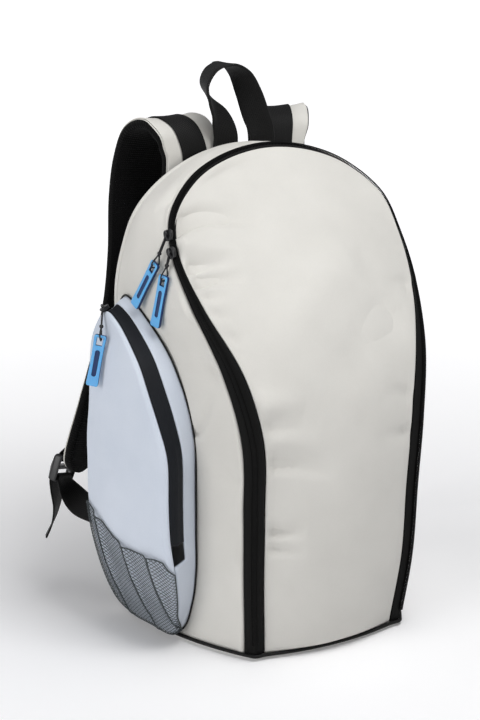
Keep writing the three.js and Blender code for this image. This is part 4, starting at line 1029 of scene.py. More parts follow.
SIDE_RISE = BODY_HEIGHT * 1.47
FLAT_SCALE = np.array([BODY_DEPTH, SIDE_RISE])
POCKET_MIDDLE = np.array(POCKET_CENTRE) * FLAT_SCALE
POCKET_ZIP_END = POCKET_ZIP_START + POCKET_ZIP_WIDTH
POCKET_CORNER_END = POCKET_DEPTH - POCKET_CORNER + POCKET_CORNER * math.pi / 2
pocket_seam_line = smooth_line(np.array(POCKET_SEAM) * FLAT_SCALE, closed=True)
pocket_depth_line = smooth_line(POCKET_DEPTH_SHARES)


def pocket_seam(count):
    dense = pocket_seam_line(np.linspace(0, 1, 3201))
    return respaced(dense, count + 1)[:-1]


def pocket_depth_share(flat_up):
    highest = POCKET_DEPTH_HEIGHTS * (len(POCKET_DEPTH_SHARES) - 1)
    return pocket_depth_line(flat_up / SIDE_RISE / highest)


def pocket_lean(upness):
    """How far the wall leans inwards as it rises from the seam, which is most at the crest."""
    return POCKET_SIDE_LEAN + (POCKET_CREST_LEAN - POCKET_SIDE_LEAN) * np.maximum(0, upness)**4


def pocket_point(seam, run, inward=0.0, growth=0.0):
    """A point of the pocket's skin, grown by some millimetres. run is the way from the seam up the
    wall and round the corner, and inward the share of the way on to the middle of the face."""
    along = seam[..., 0]
    values = [np.asarray(v, float) for v in (run, inward, growth)]
    along, run, inward, growth = np.broadcast_arrays(along, *values)
    seam = np.broadcast_to(seam, along.shape + (2,))
    share = pocket_depth_share(seam[..., 1])
    corner = POCKET_CORNER * share
    wall = (POCKET_DEPTH - POCKET_CORNER) * share
    reached = run * share
    angle = np.where(reached > wall, np.minimum((reached - wall) / corner, math.pi / 2), 0)
    arm = seam - POCKET_MIDDLE
    length = np.linalg.norm(arm, axis=-1)
    inset = pocket_lean(arm[..., 1] / length) * np.minimum(reached, wall) + corner * (1 - np.cos(angle))
    reach = (length - inset + growth * np.cos(angle)) * (1 - inward)
    flat = POCKET_MIDDLE + arm / length[..., None] * reach[..., None]
    rounding = POCKET_CORNER * (1 - np.sin(angle))
    height = np.where(angle > 0, (POCKET_DEPTH - rounding) * pocket_depth_share(flat[..., 1]), reached)
    lift = POCKET_SEAM_LIFT + height + growth * np.sin(angle)
    return side_at(flat[..., 1] / SIDE_RISE, flat[..., 0] / BODY_DEPTH, lift)


def beside_pocket_zip(seam):
    high_enough = seam[:, 1] / SIDE_RISE > POCKET_ZIP_LOWEST_UP
    return high_enough & (seam[:, 0] > POCKET_ZIP_CREST_FORWARD * BODY_DEPTH)


def pocket_skin(seam, runs, inwards, growth, thickness=POCKET_WALL, closed=True):
    """A wall of the pocket through stations of its profile, as points, faces and texture places."""
    outer = pocket_point(seam[:, None], runs, inwards, growth)
    inner = pocket_point(seam[:, None], runs, inwards, np.asarray(growth).mean() - thickness)
    return thick_grid(outer, inner, grid_uvs(outer), closed)


def make_pocket_panel():
    seam = pocket_seam(220)
    hem = POCKET_ZIP_END + np.array([0, 0.3, 0.9, 1.8, 3])
    corner = np.linspace(POCKET_ZIP_END + 4, POCKET_CORNER_END, 6)
    runs = np.concatenate([hem, corner, np.full(22, POCKET_CORNER_END)])
    inwards = np.concatenate([np.zeros(11), np.linspace(0.02, 0.985, 22)])
    edge = np.concatenate([[-1.1, -0.45, 0.1, 0.35, 0.2], np.zeros(28)])
    outer = pocket_point(seam[:, None], runs[None], inwards[None], edge[None])
    angle = np.arctan2(seam[:, 1] - POCKET_MIDDLE[1], seam[:, 0] - POCKET_MIDDLE[0])[:, None]
    inner = pocket_point(seam[:, None], runs[None], inwards[None], -POCKET_WALL)
    puff = 0.8 * np.sin(angle * 3 + 1) * np.sin(math.pi * inwards) ** 2
    puff = puff + 0.35 * np.sin(angle * 7) * np.exp(-((inwards - 0.1) / 0.08) ** 2)
    out = unit(outer - inner)
    outer = outer + out * puff[..., None]
    points, faces, _ = thick_grid(outer, inner, np.zeros(outer.shape[:2] + (2,)), closed=True)
    rows, columns = outer.shape[:2]
    ring = np.arange(rows) * columns + columns - 1
    caps = [ring.tolist(), (ring + rows * columns)[::-1].tolist()]
    side_faces = [f for f in faces.tolist() if any(i % columns != columns - 1 for i in f)]
    first, second, third = points[ring[0]], points[ring[1]], points[ring[rows // 3]]
    if np.cross(second - first, third - first) @ (outer - inner)[0, -1] < 0:
        caps = [c[::-1] for c in caps]
    uvs = np.stack([points[:, 1], points[:, 2]], -1)
    make_piece("pocket_cloth", points, side_faces + caps, uvs, BLUE, "blue_cloth", ["pocket_panel"])


def make_pocket_wall():
    seam = pocket_seam(220)
    beside = beside_pocket_zip(seam)
    top = np.where(beside, POCKET_ZIP_START, POCKET_ZIP_END) - CLEARANCE
    shares = np.array([0, 0.03, 0.1, 0.2, 0.35, 0.5, 0.65, 0.8, 0.88, 0.93, 0.97, 1])
    runs = top[:, None] * shares[None]
    along = np.arange(len(seam))[:, None]
    growth = np.broadcast_to(np.array([0, 0, 0, 0, 0, 0, 0, 0.1, 0.3, 0.3, 0, -0.8]), runs.shape)
    pleats = 0.45 * np.sin(along * 0.55) * np.sin(math.pi * shares)[None] ** 2
    outer = pocket_point(seam[:, None], runs, 0.0, growth + pleats)
    inner = pocket_point(seam[:, None], runs, 0.0, -POCKET_WALL)
    points, faces, uvs = thick_grid(outer, inner, grid_uvs(outer), closed=True)
    make_piece("pocket_gusset", points, faces, uvs, BLUE, "blue_cloth", ["pocket_wall"])


def pocket_zip_seam(count):
    seam = pocket_seam(400)
    beside = np.flatnonzero(beside_pocket_zip(seam))
    start = beside[np.flatnonzero(np.diff(beside, prepend=beside[-1]) != 1)[0]]
    turned = np.roll(seam, -start, axis=0)[: len(beside)]
    line = turned[10:-10]
    return respaced(line, count)


def make_pocket_zip():
    seam = pocket_zip_seam(200)
    shares = np.array([0, 0.04, 0.12, 0.3, 0.42, 0.47, 0.5, 0.53, 0.58, 0.7, 0.88, 0.96, 1])
    raised = np.array([-0.3, 0, 0.05, 0, 0.1, 0.35, 0.1, 0.35, 0.1, 0, 0.05, 0, -0.3])
    runs = POCKET_ZIP_START + shares * (POCKET_ZIP_WIDTH - CLEARANCE)
    points, faces, uvs = pocket_skin(seam, runs[None], 0.0, raised[None] * 0.8, closed=False)
    make_piece("pocket_zip", points, faces, uvs, NAVY_TAPE, "black_zip", ["pocket_zip_tape"])


def make_pocket_piping():
    seam = pocket_seam(260)
    out = unit(seam - POCKET_MIDDLE)
    flat = seam + out * (POCKET_PIPING_RADIUS + 2 * CLEARANCE)
    path = side_at(flat[:, 1] / SIDE_RISE, flat[:, 0] / BODY_DEPTH, POCKET_PIPING_RADIUS + CLEARANCE)
    rings = tube_rings(path, POCKET_PIPING_RADIUS, 8, closed=True)
    points, faces = closed_tube(rings)
    uvs = tube_uvs(rings)
    make_piece("pocket_piping_cord", points, faces, uvs, PIPING, "black_webbing", ["pocket_piping"])


# The net pouch: strands along two sets of diagonals, over the pocket opened out flat

def net_top(flat_forward):
    """How high the net's top edge is on the flat side, at a place forward."""
    forward = flat_forward / BODY_DEPTH
    back, front = NET_TOP_UP
    return (back + (front - back) * forward - NET_SAG * 4 * forward * (1 - forward)) * SIDE_RISE


def net_reach(seam):
    """The share of the way from the skin's corner to the middle of the face at which the net ends."""
    arm = seam - POCKET_MIDDLE
    length = np.linalg.norm(arm, axis=-1)
    wall = (POCKET_DEPTH - POCKET_CORNER) * pocket_lean(arm[..., 1] / length)
    reach = length - (wall + POCKET_CORNER) * pocket_depth_share(seam[..., 1])
    corner = POCKET_MIDDLE + arm / length[..., None] * reach[..., None]
    at_corner = net_top(corner[..., 0]) - corner[..., 1]
    at_middle = net_top(POCKET_MIDDLE[0]) - POCKET_MIDDLE[1]
    return at_corner / (at_corner - at_middle)


def net_grid():
    """The net's surface as a grid of points, and the same grid opened out flat."""
    seam = pocket_seam(400)
    low = seam[:, 1] < net_top(seam[:, 0]) - NET_SEAM_DROP
    first = np.flatnonzero(low & ~np.roll(low, 1))[0]
    seam = np.roll(seam, -first, axis=0)[: low.sum()]
    turn = np.clip((seam[:, 0] / BODY_DEPTH - NET_TURN[0]) / (NET_TURN[1] - NET_TURN[0]), 0, 1)
    start = NET_START + (POCKET_ZIP_END - NET_START) * turn**2 * (3 - 2 * turn)
    runs = start[:, None] + (POCKET_CORNER_END - start)[:, None] * np.linspace(0, 1, 16)
    runs = np.concatenate([runs, np.full((len(seam), 14), POCKET_CORNER_END)], axis=1)
    inwards = np.concatenate([np.zeros(16), np.linspace(0.07, 1, 14)])[None] * net_reach(seam)[:, None]
    surface = pocket_point(seam[:, None], runs, inwards, NET_SLACK)
    down = np.cumsum(np.linalg.norm(np.diff(surface, axis=1, prepend=surface[:, :1]), axis=-1), axis=1)
    beyond = np.maximum(down[:, 15:16] - down, 0)
    arm = unit(seam - POCKET_MIDDLE)[:, None]
    length = np.linalg.norm(seam - POCKET_MIDDLE, axis=-1)[:, None]
    wall = pocket_lean(arm[..., 1]) * (POCKET_DEPTH - POCKET_CORNER)
    inset = (wall + POCKET_CORNER) * pocket_depth_share(seam[:, None, 1])
    flat = POCKET_MIDDLE + arm * ((length - inset) * (1 - inwards) + beyond)[..., None]
    return pocket_point(seam[:, None], runs, inwards, net_slack(flat)), flat


def net_slack(flat):
    """How far the net stands off the cloth: it stands up along its pleats."""
    upward = (flat[..., 1] / SIDE_RISE - NET_PLEAT_UP[0]) / (NET_PLEAT_UP[1] - NET_PLEAT_UP[0])
    slack = NET_SLACK + NET_STRAND + 0 * upward
    height = NET_PLEAT_HEIGHT * np.clip(2 * (1 - upward), 0, 1)
    for top, foot in NET_PLEATS:
        aside = flat[..., 0] - (top + (foot - top) * upward) * BODY_DEPTH
        slack = slack + height * np.exp(-((aside / NET_PLEAT_WIDTH) ** 2))
    return slack


def pleat_line(surface, flat, top, foot):
    """The ridge of a pleat, from the net's top edge to its seam."""
    upward = (flat[..., 1] / SIDE_RISE - NET_PLEAT_UP[0]) / (NET_PLEAT_UP[1] - NET_PLEAT_UP[0])
    aside = flat[..., 0] - (top + (foot - top) * upward) * BODY_DEPTH
    nearest = np.argmin(np.abs(aside), axis=0)
    columns = np.arange(flat.shape[1])
    lower = flat[nearest, columns, 1] < POCKET_MIDDLE[1]
    near = np.abs(aside[nearest, columns]) < NET_PLEAT_WIDTH
    return surface[nearest, columns][lower & near]


def net_lines(surface, flat, angle):
    """The lines where a set of parallel planes cuts the net, each as points on its surface."""
    direction = np.array([math.cos(math.radians(angle)), math.sin(math.radians(angle))])
    across = flat @ np.array([-direction[1], direction[0]])
    along = flat @ direction
    lines = []
    for level in np.arange(across.min() + NET_CELL / 2, across.max(), NET_CELL):
        crossings = []
        for axis in (0, 1):
            a = np.take(across, range(across.shape[axis] - 1), axis) - level
            b = np.take(across, range(1, across.shape[axis]), axis) - level
            hit = (a * b < 0)
            share = (a / np.where(hit, a - b, 1))[hit][:, None]
            start = np.take(surface, range(surface.shape[axis] - 1), axis)[hit]
            end = np.take(surface, range(1, surface.shape[axis]), axis)[hit]
            near = np.take(along, range(along.shape[axis] - 1), axis)[hit][:, None]
            far = np.take(along, range(1, along.shape[axis]), axis)[hit][:, None]
            rows = [near + (far - near) * share, start + (end - start) * share]
            crossings.append(np.concatenate(rows, -1))
        points = np.concatenate(crossings)
        points = points[np.argsort(points[:, 0])]
        breaks = np.flatnonzero(np.diff(points[:, 0]) > 3 * NET_CELL) + 1
        for line in np.split(points, breaks):
            line = line[:, 1:]
            length = run_lengths(line)[-1] if len(line) > 1 else 0
            if length > NET_CELL:
                lines.append(respaced(line, max(3, int(length / (NET_CELL * 0.5)) + 1)))
    return lines


def make_net():
    surface, flat = net_grid()
    parts = []
    for angle in (38, -38):
        for line in net_lines(surface, flat, angle):
            parts.append(capped_tube(tube_rings(line, NET_STRAND / 2, 4)))
    edges = [surface[:, 0], surface[:, -1], surface[0], surface[-1]]
    edges += [pleat_line(surface, flat, *pleat) for pleat in NET_PLEATS]
    for edge in edges:
        parts.append(capped_tube(tube_rings(respaced(edge, 120), NET_BOUND_EDGE / 2, 6)))
    points, faces = merged(parts)
    make_piece("net_pouch", points, faces, None, NET_CLOTH, "grey_net", ["pocket_net"])


# Straps, webbing and the grab handle, made on the left and mirrored

def stations_along(points, halves, shares, side_of):
    """Centres, directions and half widths at shares of a curve. The band's width follows the side
    direction as far as its run allows."""
    curve = even_line(points)
    shares = np.asarray(shares, float)
    centre = curve(shares)
    ahead = np.minimum(shares + TINY / 10, 1)
    behind = np.maximum(shares - TINY / 10, 0)
    along = unit(curve(ahead) - curve(behind))
    side = side_of(shares)
    sideways = unit(side - along * dot(side, along))
    outward = unit(np.cross(sideways, along))
    return {"centre": centre, "along": along, "sideways": sideways, "outward": outward,
            "half": smooth_line(halves)(shares)}


def level_direction(yaw):
    angle = np.radians(yaw)
    return np.stack([np.cos(angle), np.sin(angle), 0 * angle], -1)


MOST_ROUNDING = 0.9


def ribbon_section(half, low, high, rounding, columns):
    """One closed section of a band: places across it and heights, with rounded edges."""
    inset = half - rounding
    middle = (low + high) / 2
    reach = (high - low) / 2
    flat = np.linspace(-1, 1, columns)
    top = [(inset * s, high) for s in flat]
    turn = np.radians(np.linspace(90, -90, 7))[1:-1]
    right = [(inset + rounding * math.cos(a), middle + reach * math.sin(a)) for a in turn]
    bottom = [(inset * s, low) for s in flat[::-1]]
    left = [(-x, y) for x, y in right[::-1]]
    return np.array(top + right + bottom + left)


def ribbon(stations, low, high, rounding=None, margin=0.0, columns=7, half=None):
    """A flat band with rounded edges along stations, as points, faces and texture places."""
    rounding = rounding or (high - low) / 2
    halves = stations["half"] - margin if half is None else np.full(len(stations["half"]), half)
    sections = []
    rings = []
    for i, edge in enumerate(halves):
        section = ribbon_section(edge, low, high, min(rounding, edge * MOST_ROUNDING), columns)
        sections.append(section)
        place = stations["centre"][i] + section[:, :1] * stations["sideways"][i]
        rings.append(place + section[:, 1:] * stations["outward"][i])
    across = np.stack(sections)[..., 0]
    lengths = run_lengths(stations["centre"])
    uvs = np.stack([across, np.broadcast_to(lengths[:, None], across.shape)], -1).reshape(-1, 2)
    points, faces = capped_tube(np.stack(rings))
    return points, faces, uvs


def behind_back(rows):
    """Places behind the bag, from shares of its width, its depth and its height."""
    across, behind, up = np.array(rows, float)[:, :3].T
    return np.stack([across * BODY_WIDTH / 2, BACK_FACE_Y + behind * BODY_DEPTH, up * BODY_HEIGHT], -1)


STRAP_HALVES, STRAP_YAWS = np.array(STRAP_STATIONS, float)[:, 3:].T
strap_side_line = smooth_line(level_direction(STRAP_YAWS))


def strap_stations(shares):
    halves = STRAP_HALVES * STRAP_WIDTH / 2
    return stations_along(behind_back(STRAP_STATIONS), halves, shares, strap_side_line)


PAD_TOP = STRAP_PAD_THICKNESS / 2
FACE_LOW = PAD_TOP + CLEARANCE
FACE_TOP = FACE_LOW + STRAP_FACE_THICKNESS
STRAP_WEBBING_LOW = FACE_TOP + CLEARANCE
STRAP_WEBBING_TOP = STRAP_WEBBING_LOW + WEBBING_THICKNESS
STRAP_END = {name: value[0] for name, value in strap_stations(np.array([1.0])).items()}
BUCKLE_LENGTH = 3 * BUCKLE_BAR + 2 * BUCKLE_SLOT
BUCKLE_HALF = STRAP_WEBBING_WIDTH / 2 + 1.5
BAR_TURN = BUCKLE_BAR / 2 * math.sqrt(2) + CLEARANCE + WEBBING_THICKNESS / 2
BUCKLE_OUT = STRAP_WEBBING_LOW + WEBBING_THICKNESS / 2 + CLEARANCE + BAR_TURN


def from_strap_end(down, across, out):
    return (STRAP_END["centre"] + STRAP_END["along"] * down + STRAP_END["sideways"] * across
            + STRAP_END["outward"] * out)


def on_both_sides(name, points, faces, uvs, material, slot, node, padded=None, rim=()):
    """A piece on the left and its mirror image on the right. The columns of its rim are beige."""
    for side in ("left", "right"):
        if side == "right":
            points, faces = across_mirror(points, faces)
        piece = make_piece(f"{name}_{side}", points, faces, uvs, material, slot, [f"{node}_{side}"])
        if rim:
            around = 2 * PAD_COLUMNS + 10
            piece.data.materials.append(BEIGE)
            on_rim = [int(k % around in rim) for k in range(len(faces) - 2)]
            piece.data.polygons.foreach_set("material_index", on_rim + [0, 0])


STRAP_END_RADIUS = 14
PAD_COLUMNS = 9
PAD_RIM = (8, 27)


def make_straps():
    fine = strap_stations(np.concatenate([np.linspace(0, 0.96, 150), np.linspace(0.96, 1, 16)[1:]]))
    lengths = run_lengths(fine["centre"])
    fine["half"] = fine["half"] - rim_drop(lengths[-1] - lengths, STRAP_END_RADIUS)
    pad = ribbon(fine, -PAD_TOP, PAD_TOP, rounding=3, columns=PAD_COLUMNS)
    on_both_sides("strap_padding", *pad, AIR_MESH, "black_mesh", "strap_pad", padded=0.8, rim=PAD_RIM)
    face = ribbon(fine, FACE_LOW, FACE_TOP, margin=STRAP_FACE_MARGIN, columns=9)
    on_both_sides("strap_cloth", *face, BEIGE, "beige_cloth", "strap_face")
    last = 1 - LOOP_STATIONS / STRAP_SPANS
    strip = strap_stations(np.linspace(0, last, 150))
    tape = ribbon(strip, STRAP_WEBBING_LOW, STRAP_WEBBING_TOP, half=STRAP_WEBBING_WIDTH / 2)
    on_both_sides("strap_tape", *tape, WEBBING, "black_webbing", "strap_webbing")


def webbing(route, count):
    """A strip of webbing along a route of places and of the directions that its width runs in."""
    places = np.array([at for at, _ in route])
    across = smooth_line(np.array([side for _, side in route]))
    halves = np.full(len(route), STRAP_WEBBING_WIDTH / 2)
    stations = stations_along(places, halves, np.linspace(0, 1, count), across)
    return ribbon(stations, -WEBBING_THICKNESS / 2, WEBBING_THICKNESS / 2)


def round_bar(bar, way, start):
    """Webbing round a bar of the buckle, which stands off it on the side that way points to."""
    return [from_strap_end(bar + way * BAR_TURN * math.cos(a), 0, BUCKLE_OUT + BAR_TURN * math.sin(a))
            for a in np.radians(np.array([-90, -45, 0, 45, 90]) * (-start))]


def make_buckle_loop():
    bar = BUCKLE_DROP + BUCKLE_BAR / 2
    lying = STRAP_WEBBING_LOW + 1.5 * WEBBING_THICKNESS + 3 * CLEARANCE
    share = (STRAP_SPANS + 1 - LOOP_STATIONS) / STRAP_SPANS
    last = {name: value[0] for name, value in strap_stations(np.array([share])).items()}
    start = last["centre"] + last["outward"] * lying - last["along"] * LOOP_OVERLAP
    places = [start, last["centre"] + last["outward"] * (lying + CLEARANCE), *round_bar(bar, 1, 1),
              from_strap_end(bar - 2 * BUCKLE_BAR, 0, BUCKLE_OUT - BAR_TURN)]
    strip = webbing([(at, STRAP_END["sideways"]) for at in places], 70)
    on_both_sides("strap_loop", *strip, WEBBING, "black_webbing", "buckle_loop")


def make_lower_webbing():
    bar = BUCKLE_DROP + BUCKLE_LENGTH - BUCKLE_BAR / 2
    turns = np.radians([row[3] for row in LOWER_ROUTE])
    widths = np.stack([np.cos(turns), 0 * turns, np.sin(turns)], -1)
    route = list(zip(behind_back(LOWER_ROUTE), widths))
    turned = round_bar(bar, -1, -1)
    route += [(at, STRAP_END["sideways"]) for at in turned]
    for down, out, aside, yaw in TAIL_ROUTE:
        place = turned[-1] + np.array([aside, out, -down]) * TAIL_LENGTH
        route.append((place, level_direction(np.array(yaw))))
    on_both_sides("lower_tape", *webbing(route, 150), WEBBING, "black_webbing", "lower_webbing")


def make_handle():
    turns = smooth_line(np.array(HANDLE_STATIONS, float)[:, 3])

    def side_of(shares):
        turn = np.radians(turns(shares))
        facing = np.where(shares < 0.5, 1, -1)
        return np.stack([facing * np.cos(turn), np.sin(turn), 0 * turn], -1)

    halves = np.full(len(HANDLE_STATIONS), HANDLE_WIDTH / 2)
    stations = stations_along(behind_back(HANDLE_STATIONS), halves, np.linspace(0, 1, 150), side_of)
    points, faces, uvs = ribbon(stations, -HANDLE_THICKNESS / 2, HANDLE_THICKNESS / 2)
    make_piece("handle_tape", points, faces, uvs, WEBBING, "black_webbing", ["grab_handle"])


# Plates with rounded edges, from outlines in their own plane

def plate(name, outlines, thickness, rounding, axes, material, slot, replaces=(), rise=None):
    """A plate between closed outlines, the first being its edge and the rest its holes. axes are its
    origin and its two directions, and rise gives a new height to each point of it."""
    origin, x_axis, y_axis = axes
    curve = bpy.data.curves.new(name, "CURVE")
    curve.dimensions = "2D"
    curve.fill_mode = "BOTH"
    curve.extrude = (thickness / 2 - rounding) * MM
    curve.bevel_depth = rounding * MM
    curve.bevel_resolution = 2
    curve.offset = -rounding * MM
    for outline in outlines:
        spline = curve.splines.new("POLY")
        spline.points.add(len(outline) - 1)
        for point, (x, y) in zip(spline.points, outline):
            point.co = (x * MM, y * MM, 0, 1)
        spline.use_cyclic_u = True
    shape = bpy.data.objects.new(name + "_outline", curve)
    bpy.context.scene.collection.objects.link(shape)
    bpy.context.view_layer.update()
    mesh = bpy.data.meshes.new_from_object(shape.evaluated_get(bpy.context.evaluated_depsgraph_get()))
    bpy.data.objects.remove(shape)
    z_axis = np.cross(x_axis, y_axis)
    flat = np.array([v.co for v in mesh.vertices]) / MM
    if rise:
        flat[:, 2] = rise(*flat.T)
    points = origin + flat[:, :1] * x_axis + flat[:, 1:2] * y_axis + flat[:, 2:] * z_axis
    faces = [list(p.vertices) for p in mesh.polygons]
    bpy.data.meshes.remove(mesh)
    return make_piece(name, points, faces, None, material, slot, replaces)


def bend(start, control, end, steps=6):
    """Points along a quadratic curve, without its first one."""
    shares = np.arange(1, steps + 1)[:, None] / steps
    start, control, end = (np.array(p, float) for p in (start, control, end))
    return (start * (1 - shares) ** 2 + control * 2 * shares * (1 - shares) + end * shares**2).tolist()


def pull_outline(inset=0.0):
    half = PULL_WIDTH / 2 - inset
    waist = PULL_WAIST / 2 - inset
    top = -inset
    foot = -PULL_LENGTH + inset
    line = [(-half + 2, top), (half - 2, top)]
    line += bend(line[-1], (half, top), (half, top - 3))
    line += bend(line[-1], (waist, -PULL_LENGTH / 2), (half, foot + 3), 14)
    line += bend(line[-1], (half, foot), (half - 2, foot))
    line.append((-half + 2, foot))
    line += bend(line[-1], (-half, foot), (-half, foot + 3))
    line += bend(line[-1], (-waist, -PULL_LENGTH / 2), (-half, top - 3), 14)
    line += bend(line[-1], (-half, top), (-half + 2, top))[:-1]
    return line


def slot_outline(centre, half_width, half_length):
    angles = np.radians(np.arange(0, 360, 20))
    outline = []
    for a in angles:
        end = centre + math.copysign(half_length - half_width, math.sin(a))
        outline.append((half_width * math.cos(a), end + half_width * math.sin(a)))
    return outline


PULL_SLOT = {"centre": -26, "half_width": 2.0, "half_length": 12}
INLAY = {"centre": -26, "half_width": 1.95, "half_length": 11.95}
INLAY_SUNK = 0.7
INLAY_ROUNDING = 0.3
PULL_ROUNDING = 0.9
KNOT = [(-1.5, 1.0), (-1.0, 1.7), (0, 1.95), (1.0, 1.7), (1.5, 1.0)]
NODES = {
    "main_a": {"pull": "main_zip_pull_a", "slider": "main_zip_slider_a"},
    "main_b": {"pull": "main_zip_pull_b", "slider": "main_zip_slider_b"},
    "pocket": {"pull": "pocket_pull", "slider": "pocket_slider"},
}


def hang(name, slider, head, foot, facing, along, outward):
    """A slider at one place, its pull's head at another and the pull's foot towards a third, with the
    pull's flat side looking in a level direction."""
    upwards = unit(head - foot)
    sideways = unit(np.cross(upwards, level_direction(facing)))
    ahead = unit(np.cross(sideways, upwards))
    eye = [(-PULL_EYE_WIDTH / 2, -PULL_TOP_BAR), (-PULL_EYE_WIDTH / 2, -PULL_TOP_BAR - PULL_EYE_LENGTH),
           (PULL_EYE_WIDTH / 2, -PULL_TOP_BAR - PULL_EYE_LENGTH), (PULL_EYE_WIDTH / 2, -PULL_TOP_BAR)]
    slot = slot_outline(**PULL_SLOT)
    axes = (head, sideways, upwards)
    body = [pull_outline(), eye, slot]
    pull = plate(f"{name}_pull_body", body, PULL_THICKNESS, PULL_ROUNDING, axes, PULL_BLUE, "blue_plastic",
                 [NODES[name]["pull"]])
    # The pull's edges, and the walls of its eye and slot, take the navy as painted shade, darker than its
    # blue faces.
    pull.data.materials.append(PULL_NAVY_AND_EDGE_SHADE)
    for face in pull.data.polygons:
        face.material_index = int(abs(np.dot(face.normal, ahead)) < 0.3)
    inlay = slot_outline(**INLAY)
    depth = PULL_THICKNESS - 2 * INLAY_SUNK
    plate(f"{name}_pull_inlay", [inlay], depth, INLAY_ROUNDING, axes, PULL_NAVY_AND_EDGE_SHADE, "blue_plastic")

    hook = slider + outward * SLIDER_HEIGHT * HOOK_SHARE
    bar = head - upwards * PULL_TOP_BAR / 2
    reach = hook - bar
    cord_up = unit(reach)
    across = unit(np.cross(reach, ahead))
    third = np.cross(across, cord_up)
    inner = PULL_THICKNESS / 2 + CORD_SLACK + CORD_THICKNESS / 2
    low = -PULL_TOP_BAR / 2 - CORD_SLACK - CORD_THICKNESS / 2
    length = np.linalg.norm(reach)
    join = CORD_THICKNESS * 0.55
    loop = [(join, length), (join, CORD_JOIN + 2), (join + 0.4, CORD_JOIN), (inner * 0.8, 2.5), (inner, 0),
            (inner * 0.85, low * 0.6), (inner * 0.4, low), (0, low - 0.1)]
    loop = loop + [(-x, y) for x, y in loop[-2::-1]]
    # The strands lie in the plane of the pull's length and thickness, on both faces of the pull.
    path = smooth_line([bar + cord_up * y + third * x for x, y in loop])(np.linspace(0, 1, 60))
    parts = [capped_tube(tube_rings(path, CORD_THICKNESS / 2, 8))]
    knot = bar + cord_up * (CORD_JOIN + 3)
    places = [knot + cord_up * along_cord for along_cord, _ in KNOT]
    parts.append(capped_tube(tube_rings(places, [radius for _, radius in KNOT], 10)))
    points, faces = merged(parts)
    make_piece(f"{name}_pull_cord", points, faces, None, BLACK_THREAD, "black_webbing")
    make_slider(name, slider, along, outward)


def slider_outline(grow=0.0):
    """A shield shape: broad at the front of the slider and narrow at its tail."""
    half = SLIDER_WIDTH / 2 + grow
    long = SLIDER_LENGTH / 2 + grow
    line = [(-half, long * 0.3)]
    line += bend(line[-1], (-half, long), (-half * 0.45, long), 5)
    line += bend(line[-1], (0, long * 0.86), (half * 0.45, long), 5)
    line += bend(line[-1], (half, long), (half, long * 0.3), 5)
    line += bend(line[-1], (half * 0.95, -long * 0.5), (half * 0.6, -long), 5)
    line += bend(line[-1], (0, -long * 1.06), (-half * 0.6, -long), 5)
    line += bend(line[-1], (-half * 0.95, -long * 0.5), (-half, long * 0.3), 5)[:-1]
    return line


SLIDER_BRIDGE = [(-3.6, -1.6), (-3.4, -0.2), (-2, 0.9), (0, 1.2), (2, 0.9), (3.4, -0.2), (3.6, -1.6)]


def make_slider(name, place, along, outward):
    aside = unit(np.cross(along, outward))
    top = SLIDER_HEIGHT / 2
    upper = (place + outward * (top - 1.9), aside, along)
    plate(f"{name}_slider_body", [slider_outline()], 1.5, 0.6, upper, BLACK_PLASTIC, "black_plastic",
          [NODES[name]["slider"]])
    lower = (place - outward * 1.0, aside, along)
    walls = [slider_outline(-0.4)]
    plate(f"{name}_slider_walls", walls, SLIDER_HEIGHT - 2.2, 0.4, lower, BLACK_PLASTIC, "black_plastic")
    arch = [place + along * x + outward * (top + y) for x, y in SLIDER_BRIDGE]
    path = smooth_line(arch)(np.linspace(0, 1, 24))
    points, faces = capped_tube(tube_rings(path, 0.85, 8))
    make_piece(f"{name}_slider_bridge", points, faces, None, BLACK_PLASTIC, "black_plastic")


def hang_main_pulls():
    pull_lift = PULL_THICKNESS / 2 + CORD_SLACK + CORD_THICKNESS + CLEARANCE
    slider_lift = 3 * CLEARANCE + ZIP_COIL_HEIGHT + SLIDER_HEIGHT / 2
    for pull in MAIN_PULLS:
        up = pull["slider"]
        slider = tape_point(up, 0.0, slider_lift)
        along = unit(tape_point(up + TINY, 0.0, slider_lift) - tape_point(up - TINY, 0.0, slider_lift))
        outward = unit(slider - tape_point(up, 0.0, 0.0))
        head = side_at(pull["head"][1], pull["head"][0], pull_lift + CLEARANCE)
        foot = side_at(pull["foot"][1], pull["foot"][0], pull_lift)
        hang(f"main_{pull['name']}", slider, head, foot, pull["facing"], along, outward)


def hang_pocket_pull():
    seam = pocket_seam(40)
    crest = int(np.argmax(seam[:, 1]))
    run = POCKET_ZIP_START + POCKET_ZIP_WIDTH * POCKET_SLIDER_ACROSS
    lift = POCKET_SLIDER_LIFT + SLIDER_HEIGHT / 2
    slider = pocket_point(seam[crest], run, 0.0, lift)
    outward = unit(slider - pocket_point(seam[crest], run))
    step = pocket_point(seam[crest - 1], run, 0.0, lift) - slider
    along = unit(step - outward * dot(step, outward))
    pull_lift = POCKET_SEAM_LIFT + PULL_THICKNESS / 2 + CORD_THICKNESS + POCKET_PULL_CLEARANCE

    def on_face(forward, up):
        return side_at(up, forward, pull_lift + POCKET_DEPTH * pocket_depth_share(up * SIDE_RISE))

    head, foot = on_face(*POCKET_PULL["head"]), on_face(*POCKET_PULL["foot"])
    hang("pocket", slider, head, foot, POCKET_PULL["facing"], along, outward)


BUCKLE_CORNER = 3
BUCKLE_TAPER = 1.5
BUCKLE_FOOT_CORNER = 1
BUCKLE_ROUNDING = 1.1
CHEEK_HEIGHT = 8.5
BUCKLE_ARCH = 2.5


def buckle_rise(across, down, out):
    """The buckle's cheeks stand taller than its bars, and it arches away from the strap."""
    cheek = np.clip((np.abs(across) - BUCKLE_HALF + 1) / 2, 0, 1)
    along = down / BUCKLE_LENGTH
    arch = BUCKLE_ARCH * 4 * along * (1 - along)
    return out * (1 + (CHEEK_HEIGHT / BUCKLE_BAR - 1) * cheek) + arch * (cheek + 1) / 2


